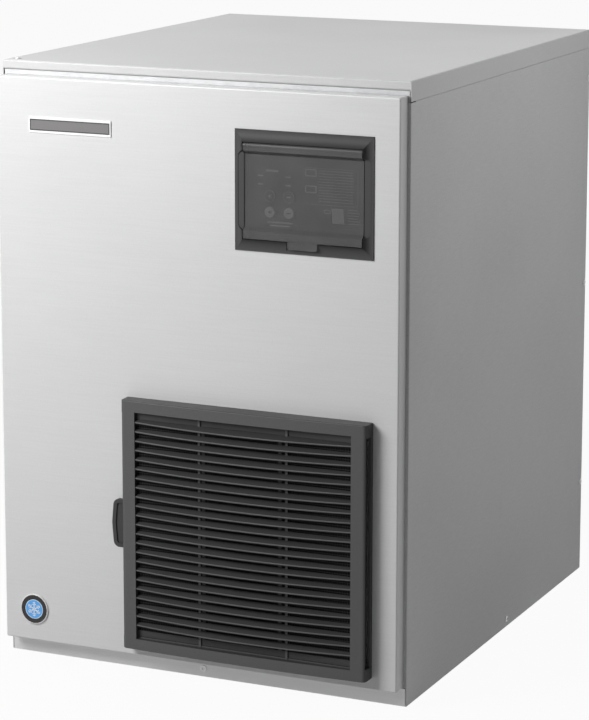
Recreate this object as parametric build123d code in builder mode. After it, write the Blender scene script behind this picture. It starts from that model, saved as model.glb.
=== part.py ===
from build123d import *
import os
from math import asin, cos, degrees, radians, sin, tan

os.makedirs("parts", exist_ok=True)

# Flake ice machine: the head that stands on an ice bin, air cooled.
# +X is the machine's right as seen from the front, the front faces -Y, +Z is up.
# The origin is the middle of the machine's footprint, on the plane that it stands on.

# Cabinet
cabinet_width = 560.0
cabinet_depth = 665.0
cabinet_height = 780.0
panel_sheet = 1.0
base_sheet = 1.5
base_rim = 23.0
bend_radius = 2.0
top_flange = 25.0
top_lip = 12.0
top_lip_return = 14.0
lip_roll = 3.0
side_return = 18.0
joggle_step = 1.2
seam = 0.2
rear_flange = 14.0

# Front panel, a folded tray hung in front of the cabinet
front_panel_side_gap = 4.25
front_panel_bottom = 24.0
front_panel_top_gap = 17.5
front_panel_proud = 23.0
front_panel_bend = 3.0

# Air inlet grille, a moulding with bowed louvre blades
grille_inset = 205.4
grille_centre_z = 201.0
grille_width = 337.0
grille_height = 325.0
grille_proud = 20.0
grille_bow = 4.6
grille_corner = 6.0
grille_border_side = 20.4
grille_border_end = 14.3
grille_wall = 3.0
blade_count = 23
blade_pitch = 12.05
blade_first_z = 335.5
blade_thickness = 2.6
blade_tilt = 28.6
blade_end_depth = 4.6
blade_rib_spacing = 120.0
blade_rib_width = 3.0
blade_rib_depth = 1.2

# Filter cassette that slides out of the grille to the left
cassette_margin = 16.5
cassette_thickness = 7.8
cassette_border = 8.0
cassette_clearance = 0.4
cassette_right_gap = 5.0
slot_lead = 3.4
slot_lead_width = 4.5
mesh_thickness = 1.2
mesh_setback = 1.0
handle_height = 63.0
handle_reach = 16.0
handle_rim = 5.0
handle_thickness = 5.0
handle_web = 1.6

# Display window: bezel, hinged cover, control plate
bezel_inset = 129.6
bezel_drop = 141.2
bezel_width = 184.4
bezel_height = 150.4
bezel_proud = 7.0
bezel_lip = 1.4
bezel_cove = 1.5
cover_width = 158.0
cover_height = 118.4
cover_gap = 1.0
cover_sheet = 2.0
cover_band_height = 99.0
cover_band_depth = 6.0
cover_band_slope = 4.5
band_width = 176.0
band_corner = 9.0
cover_tab_width = 40.0
cover_tab_drop = 10.0
cover_tab_setback = 0.8
cover_tab_corner = 4.0
cover_pin_radius = 1.5
cover_pin_length = 2.4
hinge_clearance = 0.06
well_wall = 2.0
well_depth = 17.5
control_plate_sheet = 1.5
control_plate_overlap = 2.5

# Push buttons and the power switch on the control plate
button_spacing_x = 25.5
button_spacing_z = 20.0
button_group_x = -36.3
button_group_z = -16.8
button_radius = 6.9
button_height = 4.2
button_travel = 1.5
button_clearance = 0.3
button_flange = 1.4
button_stem = 2.6
rocker_x = 40.2
rocker_z = -25.8
rocker_width = 15.5
rocker_height = 19.6
rocker_gap = 0.5
rocker_tilt = 8.0
rocker_pin_radius = 1.2
switch_board_sheet = 1.6
switch_block = 6.0
switch_block_height = 4.0

# Name plate and round badge, both left without any marking
plate_inset = 108.9
plate_drop = 77.2
plate_width = 116.8
plate_height = 20.5
plate_thickness = 1.6
badge_inset = 47.4
badge_centre_z = 66.5
badge_radius = 20.0
badge_thickness = 2.4

# Screws
screw_radius = 2.0
screw_head_radius = 4.4
screw_head_height = 1.8
screw_length = 7.0
screw_hole_clearance = 0.1
screw_cross_length = 4.4
screw_cross_width = 0.9
screw_cross_depth = 1.0
rear_screw_low = 129.6
rear_screw_drop = 67.4
rear_screw_inset = 6.0
base_screw_height = 10.6
base_side_screw_depth = 358.0
top_screw_inset = 13.1
top_screw_depth = 16.6

# Fixing of the machine to the bin, and the opening that the ice falls through
bin_hole_radius = 4.5
bin_hole_inset_x = 28.0
bin_hole_inset_y = 38.0
chute_inset = 68.0
chute_depth_place = 330.0
chute_width = 92.0
chute_depth = 96.0
chute_wall = 2.5
chute_mouth_radius = 8.0
chute_flange = 10.0

# Ice maker: gearbox, evaporator, auger, head
evaporator_offset = 130.0
evaporator_place = 330.0
gearbox_height = 96.0
gearbox_radius = 62.0
gearbox_foot = 8.0
gear_motor_radius = 44.0
gear_motor_height = 92.0
gear_motor_offset = 116.0
housing_height = 46.0
housing_radius = 56.0
evaporator_bore = 43.0
evaporator_wall = 4.0
evaporator_height = 292.0
coil_tube_radius = 5.0
coil_turns = 12
insulation_wall = 24.0
auger_clearance = 0.5
auger_core = 27.0
auger_pitch = 42.0
auger_flight = 4.0
auger_journal = 12.0
journal_clearance = 0.05
bearing_wall = 4.0
bearing_length = 16.0
head_height = 34.0
head_slots = 6
cutter_height = 22.0
cutter_radius = 37.0
spout_height = 58.0
spout_wall = 3.0

# Bin control paddle inside the top of the chute
paddle_width = 70.0
paddle_drop = 62.0
paddle_sheet = 1.5
paddle_pin_radius = 2.0
paddle_pivot_height = 36.0

# Water side
tank_inset = 76.0
tank_place = 112.0
tank_width = 116.0
tank_depth = 128.0
tank_height = 112.0
tank_bottom_z = 430.0
tank_wall = 3.0
tank_bracket_sheet = 2.0
tank_lid_sheet = 2.5
float_radius = 22.0
float_height = 26.0
float_travel = 25.0
float_stem_radius = 3.0
hose_radius = 7.0
feed_hose_rise = 22.0
drain_hose_x = 42.0
drain_hose_y = 22.0
drain_hose_drop = 130.0
drain_hose_shift = 180.0
drain_hose_turn = 130.0
drain_hose_end = 75.0
inlet_hose_y = 36.0

# Air side
condenser_width = 300.0
condenser_height = 286.0
condenser_thickness = 44.0
condenser_place = 10.0
condenser_bottom_z = 30.0
fan_radius = 112.0
fan_hub_radius = 27.0
fan_blades = 5
fan_width = 26.0
fan_pitch = radians(24)
fan_root_chord = 34.0
fan_tip_chord = 62.0
fan_sheet = 2.0
fan_shaft_radius = 4.0
shroud_depth = 24.0
shroud_sheet = 1.5
fan_tip_gap = 6.0
fan_motor_radius = 40.0
fan_motor_length = 62.0

# Refrigeration
compressor_inset = 140.0
compressor_place = 400.0
compressor_radius = 86.0
compressor_height = 196.0
compressor_foot_height = 18.0
drier_radius = 12.0
drier_length = 92.0
line_radius = 4.8
line_gap = 18.0
line_rise = 46.5
discharge_x = 34.0
discharge_y = 24.0
coil_depth = 22.0
condenser_outlet_z = 46.0
drier_place = 120.0
valve_place = 500.0
valve_z = 118.0
valve_height = 34.0
coil_feed_z = 190.0
suction_drop = 40.0
suction_reach = 40.0

# Electrical
control_box_width = 196.0
control_box_depth = 150.0
control_box_height = 168.0
control_box_place = 42.0
control_box_top_gap = 52.0
control_box_sheet = 1.2
board_margin = 14.0
board_sheet = 2.0
board_standoff = 10.0

# Rear connections
rear_reach = 12.0
inlet_inset = 75.0
inlet_z = 640.0
inlet_radius = 10.4
inlet_bore = 6.5
inlet_barrel_radius = 9.4
inlet_nut_radius = 15.0
inlet_nut_height = 3.0
inlet_valve_depth = 62.0
drain_inset = 75.0
drain_z = 56.0
drain_radius = 13.2
drain_bore = 9.0
drain_fitting_depth = 26.0
gland_inset = 48.0
gland_z = 62.0
gland_radius = 10.0
gland_bore = 5.0
louvre_columns = 2
louvre_rows = 12
louvre_width = 138.0
louvre_pitch = 21.0
louvre_pitch_x = 156.0
louvre_reach = 7.0
louvre_opening = 9.0
louvre_group_inset = 202.0
louvre_group_z = 210.0

# Planes that more than one piece is placed by
front_reach = front_panel_proud + grille_proud + grille_bow
front = -(cabinet_depth + rear_reach - front_reach) / 2
rear = front + cabinet_depth
panel_face = front - front_panel_proud
half_width = cabinet_width / 2
inner_half = half_width - panel_sheet
joggle_z = cabinet_height - top_flange - seam - joggle_step
rear_face = rear - joggle_step
base_rear = rear_face - panel_sheet - seam
hole_radius = screw_radius + screw_hole_clearance
front_panel_width = cabinet_width - 2 * front_panel_side_gap
front_panel_top = cabinet_height - front_panel_top_gap
grille_centre_x = half_width - grille_inset
bezel_centre_x = half_width - bezel_inset
bezel_centre_z = cabinet_height - bezel_drop
plate_centre_x = plate_inset - half_width
plate_centre_z = cabinet_height - plate_drop
badge_centre_x = badge_inset - half_width
top_screw_x = top_screw_inset - half_width
rear_screw_top = cabinet_height - rear_screw_drop
rear_screw_heights = (rear_screw_low, (rear_screw_low + rear_screw_top) / 2, rear_screw_top)
chute_x = chute_inset - half_width
evaporator_x = chute_x + evaporator_offset
tank_x = tank_inset - half_width
compressor_x = half_width - compressor_inset
inlet_x = inlet_inset - half_width
drain_x = drain_inset - half_width
gland_x = half_width - gland_inset
louvre_group_x = half_width - louvre_group_inset


def block(x0, x1, y0, y1, z0, z1, mode=Mode.ADD):
    """A box between two corners, added to or cut from the part that is being made."""
    with Locations(((x0 + x1) / 2, (y0 + y1) / 2, (z0 + z1) / 2)):
        Box(x1 - x0, y1 - y0, z1 - z0, mode=mode)


def disc(x, z, y0, y1, radius, mode=Mode.ADD):
    """A round bar or hole along Y, from y0 to y1."""
    with Locations(Location((x, (y0 + y1) / 2, z), (90, 0, 0))):
        Cylinder(radius, y1 - y0, mode=mode)


def folded_sheet(points, radius, thickness):
    """Section of a folded sheet: the outer line through its bends and a second line inside it."""
    with BuildSketch() as section:
        with BuildLine():
            FilletPolyline(*points, radius=radius)
            offset(amount=thickness, side=Side.RIGHT)
        make_face()
    return section.sketch


def finish(piece, name):
    """Labels a finished piece and writes it to its own file."""
    piece.part.label = name
    export_step(piece.part, f"parts/{name}.step")


# Base pan: a folded tray that carries everything and stands on the ice bin.
# Its front rim is the narrow rail seen below the front panel.
with BuildPart() as base_pan:
    with BuildSketch():
        with Locations((0, (front + base_rear) / 2)):
            Rectangle(2 * inner_half, base_rear - front)
    extrude(amount=base_rim)
    fillet(base_pan.edges().filter_by(Axis.Z), radius=bend_radius)
    offset(amount=-base_sheet, openings=base_pan.faces().sort_by(Axis.Z)[-1])
    with BuildSketch():
        with Locations((chute_x, front + chute_depth_place)):
            RectangleRounded(chute_width, chute_depth, radius=chute_mouth_radius)
    extrude(amount=base_sheet, mode=Mode.SUBTRACT)
    with BuildSketch():
        with Locations((0, (front + rear) / 2)):
            with GridLocations(2 * (half_width - bin_hole_inset_x), cabinet_depth - 2 * bin_hole_inset_y, 2, 2):
                Circle(bin_hole_radius)
    extrude(amount=base_sheet, mode=Mode.SUBTRACT)
    with BuildSketch(Plane.YZ):
        with Locations((front + base_side_screw_depth, base_screw_height)):
            Circle(hole_radius)
    extrude(amount=half_width, both=True, mode=Mode.SUBTRACT)
    disc(0, base_screw_height, front - 1, front + 2 * base_sheet, hole_radius, mode=Mode.SUBTRACT)
finish(base_pan, "base_pan")

# Right side panel: one sheet with a return along its front edge. Its top is set in by a
# joggle, so that the flange of the top panel lies flush over it.
with BuildPart() as right_side_panel:
    with BuildSketch(Plane.XZ.offset(-front)):
        with BuildLine():
            Polyline(
                (half_width, 0),
                (half_width, joggle_z),
                (half_width - joggle_step, joggle_z + joggle_step),
                (half_width - joggle_step, cabinet_height - 6),
                (inner_half - joggle_step, cabinet_height - 6),
                (inner_half - joggle_step, joggle_z + joggle_step),
                (inner_half, joggle_z),
                (inner_half, 0),
                close=True,
            )
        make_face()
    extrude(amount=-cabinet_depth)
    block(half_width - side_return, half_width, front, front + panel_sheet, base_rim + 1, joggle_z)
    block(0, half_width, front - 1, front + top_lip_return + 2, joggle_z, cabinet_height, mode=Mode.SUBTRACT)
    block(0, half_width, rear_face - seam, rear + 1, joggle_z, cabinet_height, mode=Mode.SUBTRACT)
    fillet(
        right_side_panel.edges().filter_by(Axis.Z).group_by(Axis.Y)[0].sort_by(Axis.X)[-1:],
        radius=panel_sheet,
    )
    with BuildSketch(Plane.YZ):
        with Locations((front + base_side_screw_depth, base_screw_height)):
            Circle(hole_radius)
        with Locations(*[(rear - rear_screw_inset, z) for z in rear_screw_heights]):
            Circle(hole_radius)
    extrude(amount=cabinet_width, mode=Mode.SUBTRACT)
finish(right_side_panel, "right_side_panel")

with BuildPart() as left_side_panel:
    add(mirror(right_side_panel.part, about=Plane.YZ, mode=Mode.PRIVATE))
finish(left_side_panel, "left_side_panel")

# Top panel: a shallow folded tray. Along the front it has only a short lip, rolled back
# under itself; the sides and the rear have a full flange.
lip_section = folded_sheet(
    [
        (front + top_lip_return, cabinet_height - top_lip),
        (front, cabinet_height - top_lip),
        (front, cabinet_height - top_lip / 2),
    ],
    lip_roll,
    panel_sheet,
)
with BuildPart() as top_panel:
    block(-half_width, half_width, front, rear, cabinet_height - top_flange, cabinet_height)
    fillet(top_panel.faces().sort_by(Axis.Z)[-1].edges(), radius=bend_radius)
    offset(amount=-panel_sheet, openings=top_panel.faces().sort_by(Axis.Z)[0])
    block(
        -inner_half, inner_half, front - 1, front + 2 * panel_sheet,
        cabinet_height - 2 * top_flange, cabinet_height - top_lip / 2,
        mode=Mode.SUBTRACT,
    )
    with BuildSketch(Plane.YZ):
        add(lip_section)
    extrude(amount=inner_half, both=True)
    with Locations((top_screw_x, front + top_screw_depth, cabinet_height)):
        Cylinder(hole_radius, 4 * panel_sheet, mode=Mode.SUBTRACT)
finish(top_panel, "top_panel")

# Cross rail behind the gap between the top panel's lip and the front panel. It holds the
# sides apart and carries the top panel's screw tab.
rail_section = folded_sheet(
    [
        (front + top_lip_return + 14, joggle_z - 14),
        (front + panel_sheet + seam, joggle_z - 14),
        (front + panel_sheet + seam, cabinet_height - top_lip),
    ],
    bend_radius,
    panel_sheet,
)
with BuildPart() as front_cross_rail:
    with BuildSketch(Plane.YZ):
        add(rail_section)
    extrude(amount=inner_half - joggle_step - seam, both=True)
    block(
        top_screw_x - 8, top_screw_x + 8,
        front + top_lip_return + 0.2, front + top_lip_return + 1.7,
        joggle_z - 14, cabinet_height - panel_sheet,
    )
    block(
        top_screw_x - 8, top_screw_x + 8,
        front + panel_sheet * 4, front + top_lip_return + 14,
        cabinet_height - 4 * panel_sheet, cabinet_height - panel_sheet,
    )
    with BuildSketch(Plane.XY.offset(cabinet_height)):
        with Locations((top_screw_x, front + top_screw_depth)):
            Circle(hole_radius)
    extrude(amount=-11, mode=Mode.SUBTRACT)
finish(front_cross_rail, "front_cross_rail")

# Rear panel: a sheet between the sides with a flange down each edge for the side screws,
# pressed louvres where the warm air leaves, and holes for the water and power connections.
rear_section = folded_sheet(
    [
        (-inner_half + seam, rear_face - rear_flange),
        (-inner_half + seam, rear_face),
        (inner_half - seam, rear_face),
        (inner_half - seam, rear_face - rear_flange),
    ],
    bend_radius,
    panel_sheet,
)
with BuildPart() as louvre_hood:
    with BuildSketch(Plane.YZ):
        Polygon((0, 4), (louvre_reach, 1 - louvre_opening), (louvre_reach, -louvre_opening), (0, -louvre_opening),
                align=None)
    extrude(amount=louvre_width / 2, both=True)
    with BuildSketch(Plane.YZ):
        Polygon(
            (panel_sheet, 4 - 2 * panel_sheet), (louvre_reach - panel_sheet, 1 - louvre_opening),
            (louvre_reach - panel_sheet, -2 * louvre_opening), (-1, -2 * louvre_opening),
            (-1, 4 - 2 * panel_sheet), align=None,
        )
    extrude(amount=louvre_width / 2 - panel_sheet, both=True, mode=Mode.SUBTRACT)

with BuildPart() as rear_panel:
    with BuildSketch(Plane.XY.offset(2 * base_sheet)):
        add(rear_section)
    extrude(amount=cabinet_height - 2 * base_sheet - 3 * panel_sheet)
    block(
        -half_width, half_width, rear_face - 2 * rear_flange, rear_face - panel_sheet - seam / 2,
        0, base_rim + 1, mode=Mode.SUBTRACT,
    )
    for side in (-1, 1):
        with Locations((side * (inner_half - joggle_step), rear, cabinet_height)):
            Box(3 * joggle_step, 4 * rear_flange, 2 * (cabinet_height - joggle_z), mode=Mode.SUBTRACT)
    with BuildSketch(Plane.YZ):
        with Locations(*[(rear - rear_screw_inset, z) for z in rear_screw_heights]):
            Circle(hole_radius)
    extrude(amount=half_width, both=True, mode=Mode.SUBTRACT)
    with BuildSketch(Plane.XZ.offset(-rear_face)):
        with Locations((louvre_group_x, louvre_group_z - louvre_opening / 2)):
            with GridLocations(louvre_pitch_x, louvre_pitch, louvre_columns, louvre_rows):
                Rectangle(louvre_width - 2 * panel_sheet, louvre_opening)
        with Locations((inlet_x, inlet_z)):
            Circle(inlet_barrel_radius + seam)
        with Locations((drain_x, drain_z)):
            Circle(drain_radius + seam)
        with Locations((gland_x, gland_z)):
            Circle(gland_radius + seam)
    extrude(amount=2 * panel_sheet, both=True, mode=Mode.SUBTRACT)
    with Locations((louvre_group_x, rear_face - panel_sheet, louvre_group_z)):
        with GridLocations(louvre_pitch_x, 0, louvre_columns, 1):
            with Locations(*[(0, 0, (row - (louvre_rows - 1) / 2) * louvre_pitch) for row in range(louvre_rows)]):
                add(louvre_hood.part)
finish(rear_panel, "rear_panel")

# Front panel: a folded tray with windows for the display and the grille. A tab on its lower
# return drops behind the base rail, where one screw holds it.
well_width = cover_width + 2 * (cover_gap + well_wall)
well_height = cover_height + 2 * (cover_gap + well_wall)
grille_window_width = grille_width - 2 * (grille_border_side - 4)
grille_window_height = grille_height - 2 * (grille_border_end + 4)
panel_centre_z = (front_panel_bottom + front_panel_top) / 2
with BuildPart() as front_panel:
    with BuildSketch(Plane.XZ.offset(-front)):
        with Locations((0, panel_centre_z)):
            Rectangle(front_panel_width, front_panel_top - front_panel_bottom)
    extrude(amount=front_panel_proud)
    fillet(front_panel.edges().filter_by(Axis.Y), radius=bend_radius)
    fillet(front_panel.faces().sort_by(Axis.Y)[0].edges(), radius=bend_radius * 0.95)
    offset(amount=-panel_sheet, openings=front_panel.faces().sort_by(Axis.Y)[-1])
    with BuildSketch(Plane.XZ.offset(-panel_face)):
        with Locations((bezel_centre_x, bezel_centre_z)):
            Rectangle(well_width + 2 * seam, well_height + 2 * seam)
        with Locations((grille_centre_x, grille_centre_z)):
            Rectangle(grille_window_width, grille_window_height)
    extrude(amount=2 * panel_sheet, both=True, mode=Mode.SUBTRACT)
    block(
        -22, 22,
        front - panel_sheet, front + base_sheet + seam + panel_sheet,
        front_panel_bottom, front_panel_bottom + panel_sheet,
    )
    block(
        -22, 22,
        front + base_sheet + seam, front + base_sheet + seam + panel_sheet,
        base_sheet + 2, front_panel_bottom + panel_sheet,
    )
    disc(0, base_screw_height, front, front + 4 * base_sheet, hole_radius, mode=Mode.SUBTRACT)
finish(front_panel, "front_panel")

# Grille: one moulding. Its face is bowed forward in plan, and each blade is a sloped plate
# whose front edge follows that bow. Slots through both side walls let the filter slide.
grille_left = grille_centre_x - grille_width / 2
grille_right = grille_centre_x + grille_width / 2
grille_bottom = grille_centre_z - grille_height / 2
grille_top = grille_centre_z + grille_height / 2
grille_face = panel_face - grille_proud
blade_back = grille_face + blade_end_depth
slot_front = blade_back + 0.2
slot_rear = slot_front + cassette_thickness + 2 * cassette_clearance
cassette_height = grille_height - 2 * cassette_margin
slot_height = cassette_height + 2 * cassette_clearance
blade_span = grille_width - 2 * grille_border_side
slope = radians(blade_tilt)

with BuildPart() as blade:
    with BuildSketch(Plane((grille_centre_x, blade_back, 0), x_dir=(1, 0, 0), z_dir=(0, sin(slope), -cos(slope)))):
        with BuildLine():
            end_reach = blade_end_depth / cos(slope)
            bow_reach = (blade_end_depth + grille_bow) / cos(slope)
            half_span = blade_span / 2 + 1
            Polyline((-half_span, end_reach), (-half_span, 0), (half_span, 0), (half_span, end_reach))
            ThreePointArc((-half_span, end_reach), (0, bow_reach), (half_span, end_reach))
        make_face()
    extrude(amount=blade_thickness / 2, both=True)
    chamfer(blade.faces().sort_by(Axis.Y)[0].edges().filter_by(lambda edge: edge.length > blade_span / 2), length=0.7)

with BuildPart() as louver_frame:
    with BuildSketch(Plane.XY.offset(grille_bottom)):
        with BuildLine():
            Polyline((grille_left, grille_face), (grille_left, panel_face),
                     (grille_right, panel_face), (grille_right, grille_face))
            ThreePointArc(
                (grille_left, grille_face),
                (grille_centre_x, grille_face - grille_bow),
                (grille_right, grille_face),
            )
        make_face()
    extrude(amount=grille_height)
    fillet(louver_frame.edges().filter_by(Axis.Z).group_by(Axis.Y)[0], radius=grille_corner)
    fillet(
        louver_frame.faces().sort_by(Axis.Z)[-1].edges().group_by(Axis.Y)[0]
        + louver_frame.faces().sort_by(Axis.Z)[0].edges().group_by(Axis.Y)[0],
        radius=1.2,
    )
    # the opening for the air, and the hollow behind the border
    block(
        grille_centre_x - blade_span / 2, grille_centre_x + blade_span / 2,
        grille_face - 2 * grille_bow, panel_face,
        grille_bottom + grille_border_end, grille_top - grille_border_end,
        mode=Mode.SUBTRACT,
    )
    block(
        grille_left + grille_wall, grille_right - grille_wall,
        slot_front, panel_face,
        grille_bottom + grille_wall, grille_top - grille_wall,
        mode=Mode.SUBTRACT,
    )
    # guide rails above and below the filter, with a lip behind it
    for side in (-1, 1):
        edge = grille_centre_z + side * slot_height / 2
        outside = edge + side * grille_wall * 0.8
        inside = edge - side * 6
        block(grille_left + 1, grille_right - 1, slot_front - 0.4, panel_face,
              min(edge, outside), max(edge, outside))
        block(grille_left + 1, grille_right - 1, slot_rear, slot_rear + 2,
              min(edge, inside), max(edge, inside))
    for row in range(blade_count):
        add(blade.part.moved(Location((0, 0, blade_first_z + blade_end_depth * tan(slope) - row * blade_pitch))))
    for side in (-1, 1):
        rib_x = grille_centre_x + side * blade_rib_spacing / 2
        block(
            rib_x - blade_rib_width / 2, rib_x + blade_rib_width / 2,
            blade_back - blade_rib_depth, blade_back,
            grille_bottom + grille_border_end - 1, grille_top - grille_border_end + 1,
        )
    # slots for the filter in both side walls, which start a little in front of it
    block(
        grille_left - 1, grille_right + 1,
        slot_front, slot_rear,
        grille_centre_z - slot_height / 2, grille_centre_z + slot_height / 2,
        mode=Mode.SUBTRACT,
    )
    for side in (-1, 1):
        wall_x = grille_centre_x + side * grille_width / 2
        block(
            wall_x - slot_lead_width, wall_x + slot_lead_width,
            slot_front - slot_lead, slot_front,
            grille_centre_z - slot_height / 2, grille_centre_z + slot_height / 2,
            mode=Mode.SUBTRACT,
        )
finish(louver_frame, "louver_frame")

# Filter cassette: a frame with a D-shaped pull on its left end, and the mesh that it holds
cassette_front = slot_front + cassette_clearance
cassette_rear = cassette_front + cassette_thickness
cassette_right = grille_right - cassette_right_gap
cassette_centre_x = (grille_left + cassette_right) / 2
cassette_width = cassette_right - grille_left
window_width = cassette_width - 2 * cassette_border
window_height = cassette_height - 2 * cassette_border
with BuildPart() as filter_cassette:
    with BuildSketch(Plane.XZ.offset(-cassette_rear)):
        with Locations((cassette_centre_x, grille_centre_z)):
            Rectangle(cassette_width, cassette_height)
            Rectangle(window_width, window_height, mode=Mode.SUBTRACT)
            for part_of_width in (-1, 1):
                with Locations((part_of_width * window_width / 6, 0)):
                    Rectangle(4, window_height)
    extrude(amount=cassette_thickness)
    handle_front = cassette_front + 0.5
    with BuildSketch(Plane((grille_left, handle_front, grille_centre_z), x_dir=(1, 0, 0), z_dir=(0, -1, 0))):
        with BuildLine():
            low = -handle_height / 2
            high = handle_height / 2
            FilletPolyline(
                (0, low), (-handle_reach * 0.84, low), (-handle_reach, 0),
                (-handle_reach * 0.84, high), (0, high), radius=handle_rim * 1.6,
            )
            Line((0, high), (0, low))
        make_face()
    extrude(amount=-handle_thickness)
    for step in (-1, 1):
        hollow_y = handle_front + handle_thickness / 2 + step * handle_web / 2
        with BuildSketch(Plane((grille_left, hollow_y, grille_centre_z), x_dir=(1, 0, 0), z_dir=(0, -1, 0))):
            with BuildLine():
                low = -handle_height / 2 + handle_rim
                high = handle_height / 2 - handle_rim
                reach = handle_reach - handle_rim
                FilletPolyline(
                    (-0.5, low), (-reach * 0.8, low), (-reach, 0), (-reach * 0.8, high), (-0.5, high),
                    radius=handle_rim * 0.7,
                )
                Line((-0.5, high), (-0.5, low))
            make_face()
        extrude(amount=-step * handle_thickness, mode=Mode.SUBTRACT)
finish(filter_cassette, "filter_cassette")

with BuildPart() as filter_mesh:
    for pane in (-1, 0, 1):
        pane_x = cassette_centre_x + pane * (window_width / 3 + (1 if pane else 0))
        pane_half = (window_width / 3 - 4 + (2 if pane else 0)) / 2
        block(
            pane_x - pane_half, pane_x + pane_half,
            cassette_front + mesh_setback, cassette_front + mesh_setback + mesh_thickness,
            grille_centre_z - window_height / 2, grille_centre_z + window_height / 2,
        )
finish(filter_mesh, "filter_mesh")

# Display bezel: a raised frame with hollow (coved) margins, made as the meeting of a section
# seen from the side and one seen from above, with a well behind it for the controls
bezel_face = panel_face - bezel_proud
margin_x = (bezel_width - cover_width) / 2
margin_z = (bezel_height - cover_height) / 2
plate_front = bezel_face + well_depth
cover_left = bezel_centre_x - cover_width / 2
cover_right = bezel_centre_x + cover_width / 2
cover_bottom = bezel_centre_z - cover_height / 2
cover_top = bezel_centre_z + cover_height / 2
hinge_radius = 3.0
hinge_y = bezel_face + hinge_radius
hinge_z = cover_top - hinge_radius
with BuildPart() as display_bezel:
    with BuildSketch(Plane.YZ.offset(bezel_centre_x)):
        with BuildLine():
            lip = panel_face - bezel_lip
            half = bezel_height / 2
            cove_y = (lip + bezel_face) / 2 + bezel_cove
            Line((panel_face, bezel_centre_z - half), (lip, bezel_centre_z - half))
            ThreePointArc(
                (lip, bezel_centre_z - half),
                (cove_y, bezel_centre_z - half + margin_z * 0.56),
                (bezel_face, bezel_centre_z - half + margin_z - 1),
            )
            Line((bezel_face, bezel_centre_z - half + margin_z - 1), (bezel_face, bezel_centre_z + half - margin_z + 1))
            ThreePointArc(
                (bezel_face, bezel_centre_z + half - margin_z + 1),
                (cove_y, bezel_centre_z + half - margin_z * 0.56),
                (lip, bezel_centre_z + half),
            )
            Line((lip, bezel_centre_z + half), (panel_face, bezel_centre_z + half))
            Line((panel_face, bezel_centre_z + half), (panel_face, bezel_centre_z - half))
        make_face()
    extrude(amount=bezel_width / 2, both=True)
    with BuildSketch(Plane.XY.offset(bezel_centre_z)):
        with BuildLine():
            half = bezel_width / 2
            Line((bezel_centre_x - half, panel_face), (bezel_centre_x - half, lip))
            ThreePointArc(
                (bezel_centre_x - half, lip),
                (bezel_centre_x - half + margin_x * 0.56, cove_y),
                (bezel_centre_x - half + margin_x - 1, bezel_face),
            )
            Line((bezel_centre_x - half + margin_x - 1, bezel_face), (bezel_centre_x + half - margin_x + 1, bezel_face))
            ThreePointArc(
                (bezel_centre_x + half - margin_x + 1, bezel_face),
                (bezel_centre_x + half - margin_x * 0.56, cove_y),
                (bezel_centre_x + half, lip),
            )
            Line((bezel_centre_x + half, lip), (bezel_centre_x + half, panel_face))
            Line((bezel_centre_x + half, panel_face), (bezel_centre_x - half, panel_face))
        make_face()
    extrude(amount=bezel_height / 2, both=True, mode=Mode.INTERSECT)
    block(
        bezel_centre_x - well_width / 2, bezel_centre_x + well_width / 2,
        panel_face - 0.5, plate_front,
        bezel_centre_z - well_height / 2, bezel_centre_z + well_height / 2,
    )
    block(
        cover_left - cover_gap, cover_right + cover_gap,
        bezel_face - 1, plate_front,
        cover_bottom - cover_gap, cover_top + cover_gap,
        mode=Mode.SUBTRACT,
    )
    # the channel across the middle, which carries on over the cover
    with BuildSketch(Plane.XZ.offset(-(bezel_face + cover_band_depth))):
        with Locations((bezel_centre_x, bezel_centre_z)):
            RectangleRounded(band_width, cover_band_height, radius=band_corner)
    extrude(amount=2 * cover_band_depth, mode=Mode.SUBTRACT)
    # the finger notch below the cover's tab
    block(
        bezel_centre_x - cover_tab_width / 2 - 1.2, bezel_centre_x + cover_tab_width / 2 + 1.2,
        bezel_face - 1, panel_face - 1,
        cover_bottom - cover_tab_drop - 1.6, cover_bottom,
        mode=Mode.SUBTRACT,
    )
    with BuildSketch(Plane.YZ.offset(bezel_centre_x)):
        with Locations((hinge_y, hinge_z)):
            Circle(cover_pin_radius + hinge_clearance)
    extrude(amount=cover_width / 2 + cover_gap + cover_pin_length, both=True, mode=Mode.SUBTRACT)
finish(display_bezel, "display_bezel")

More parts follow.
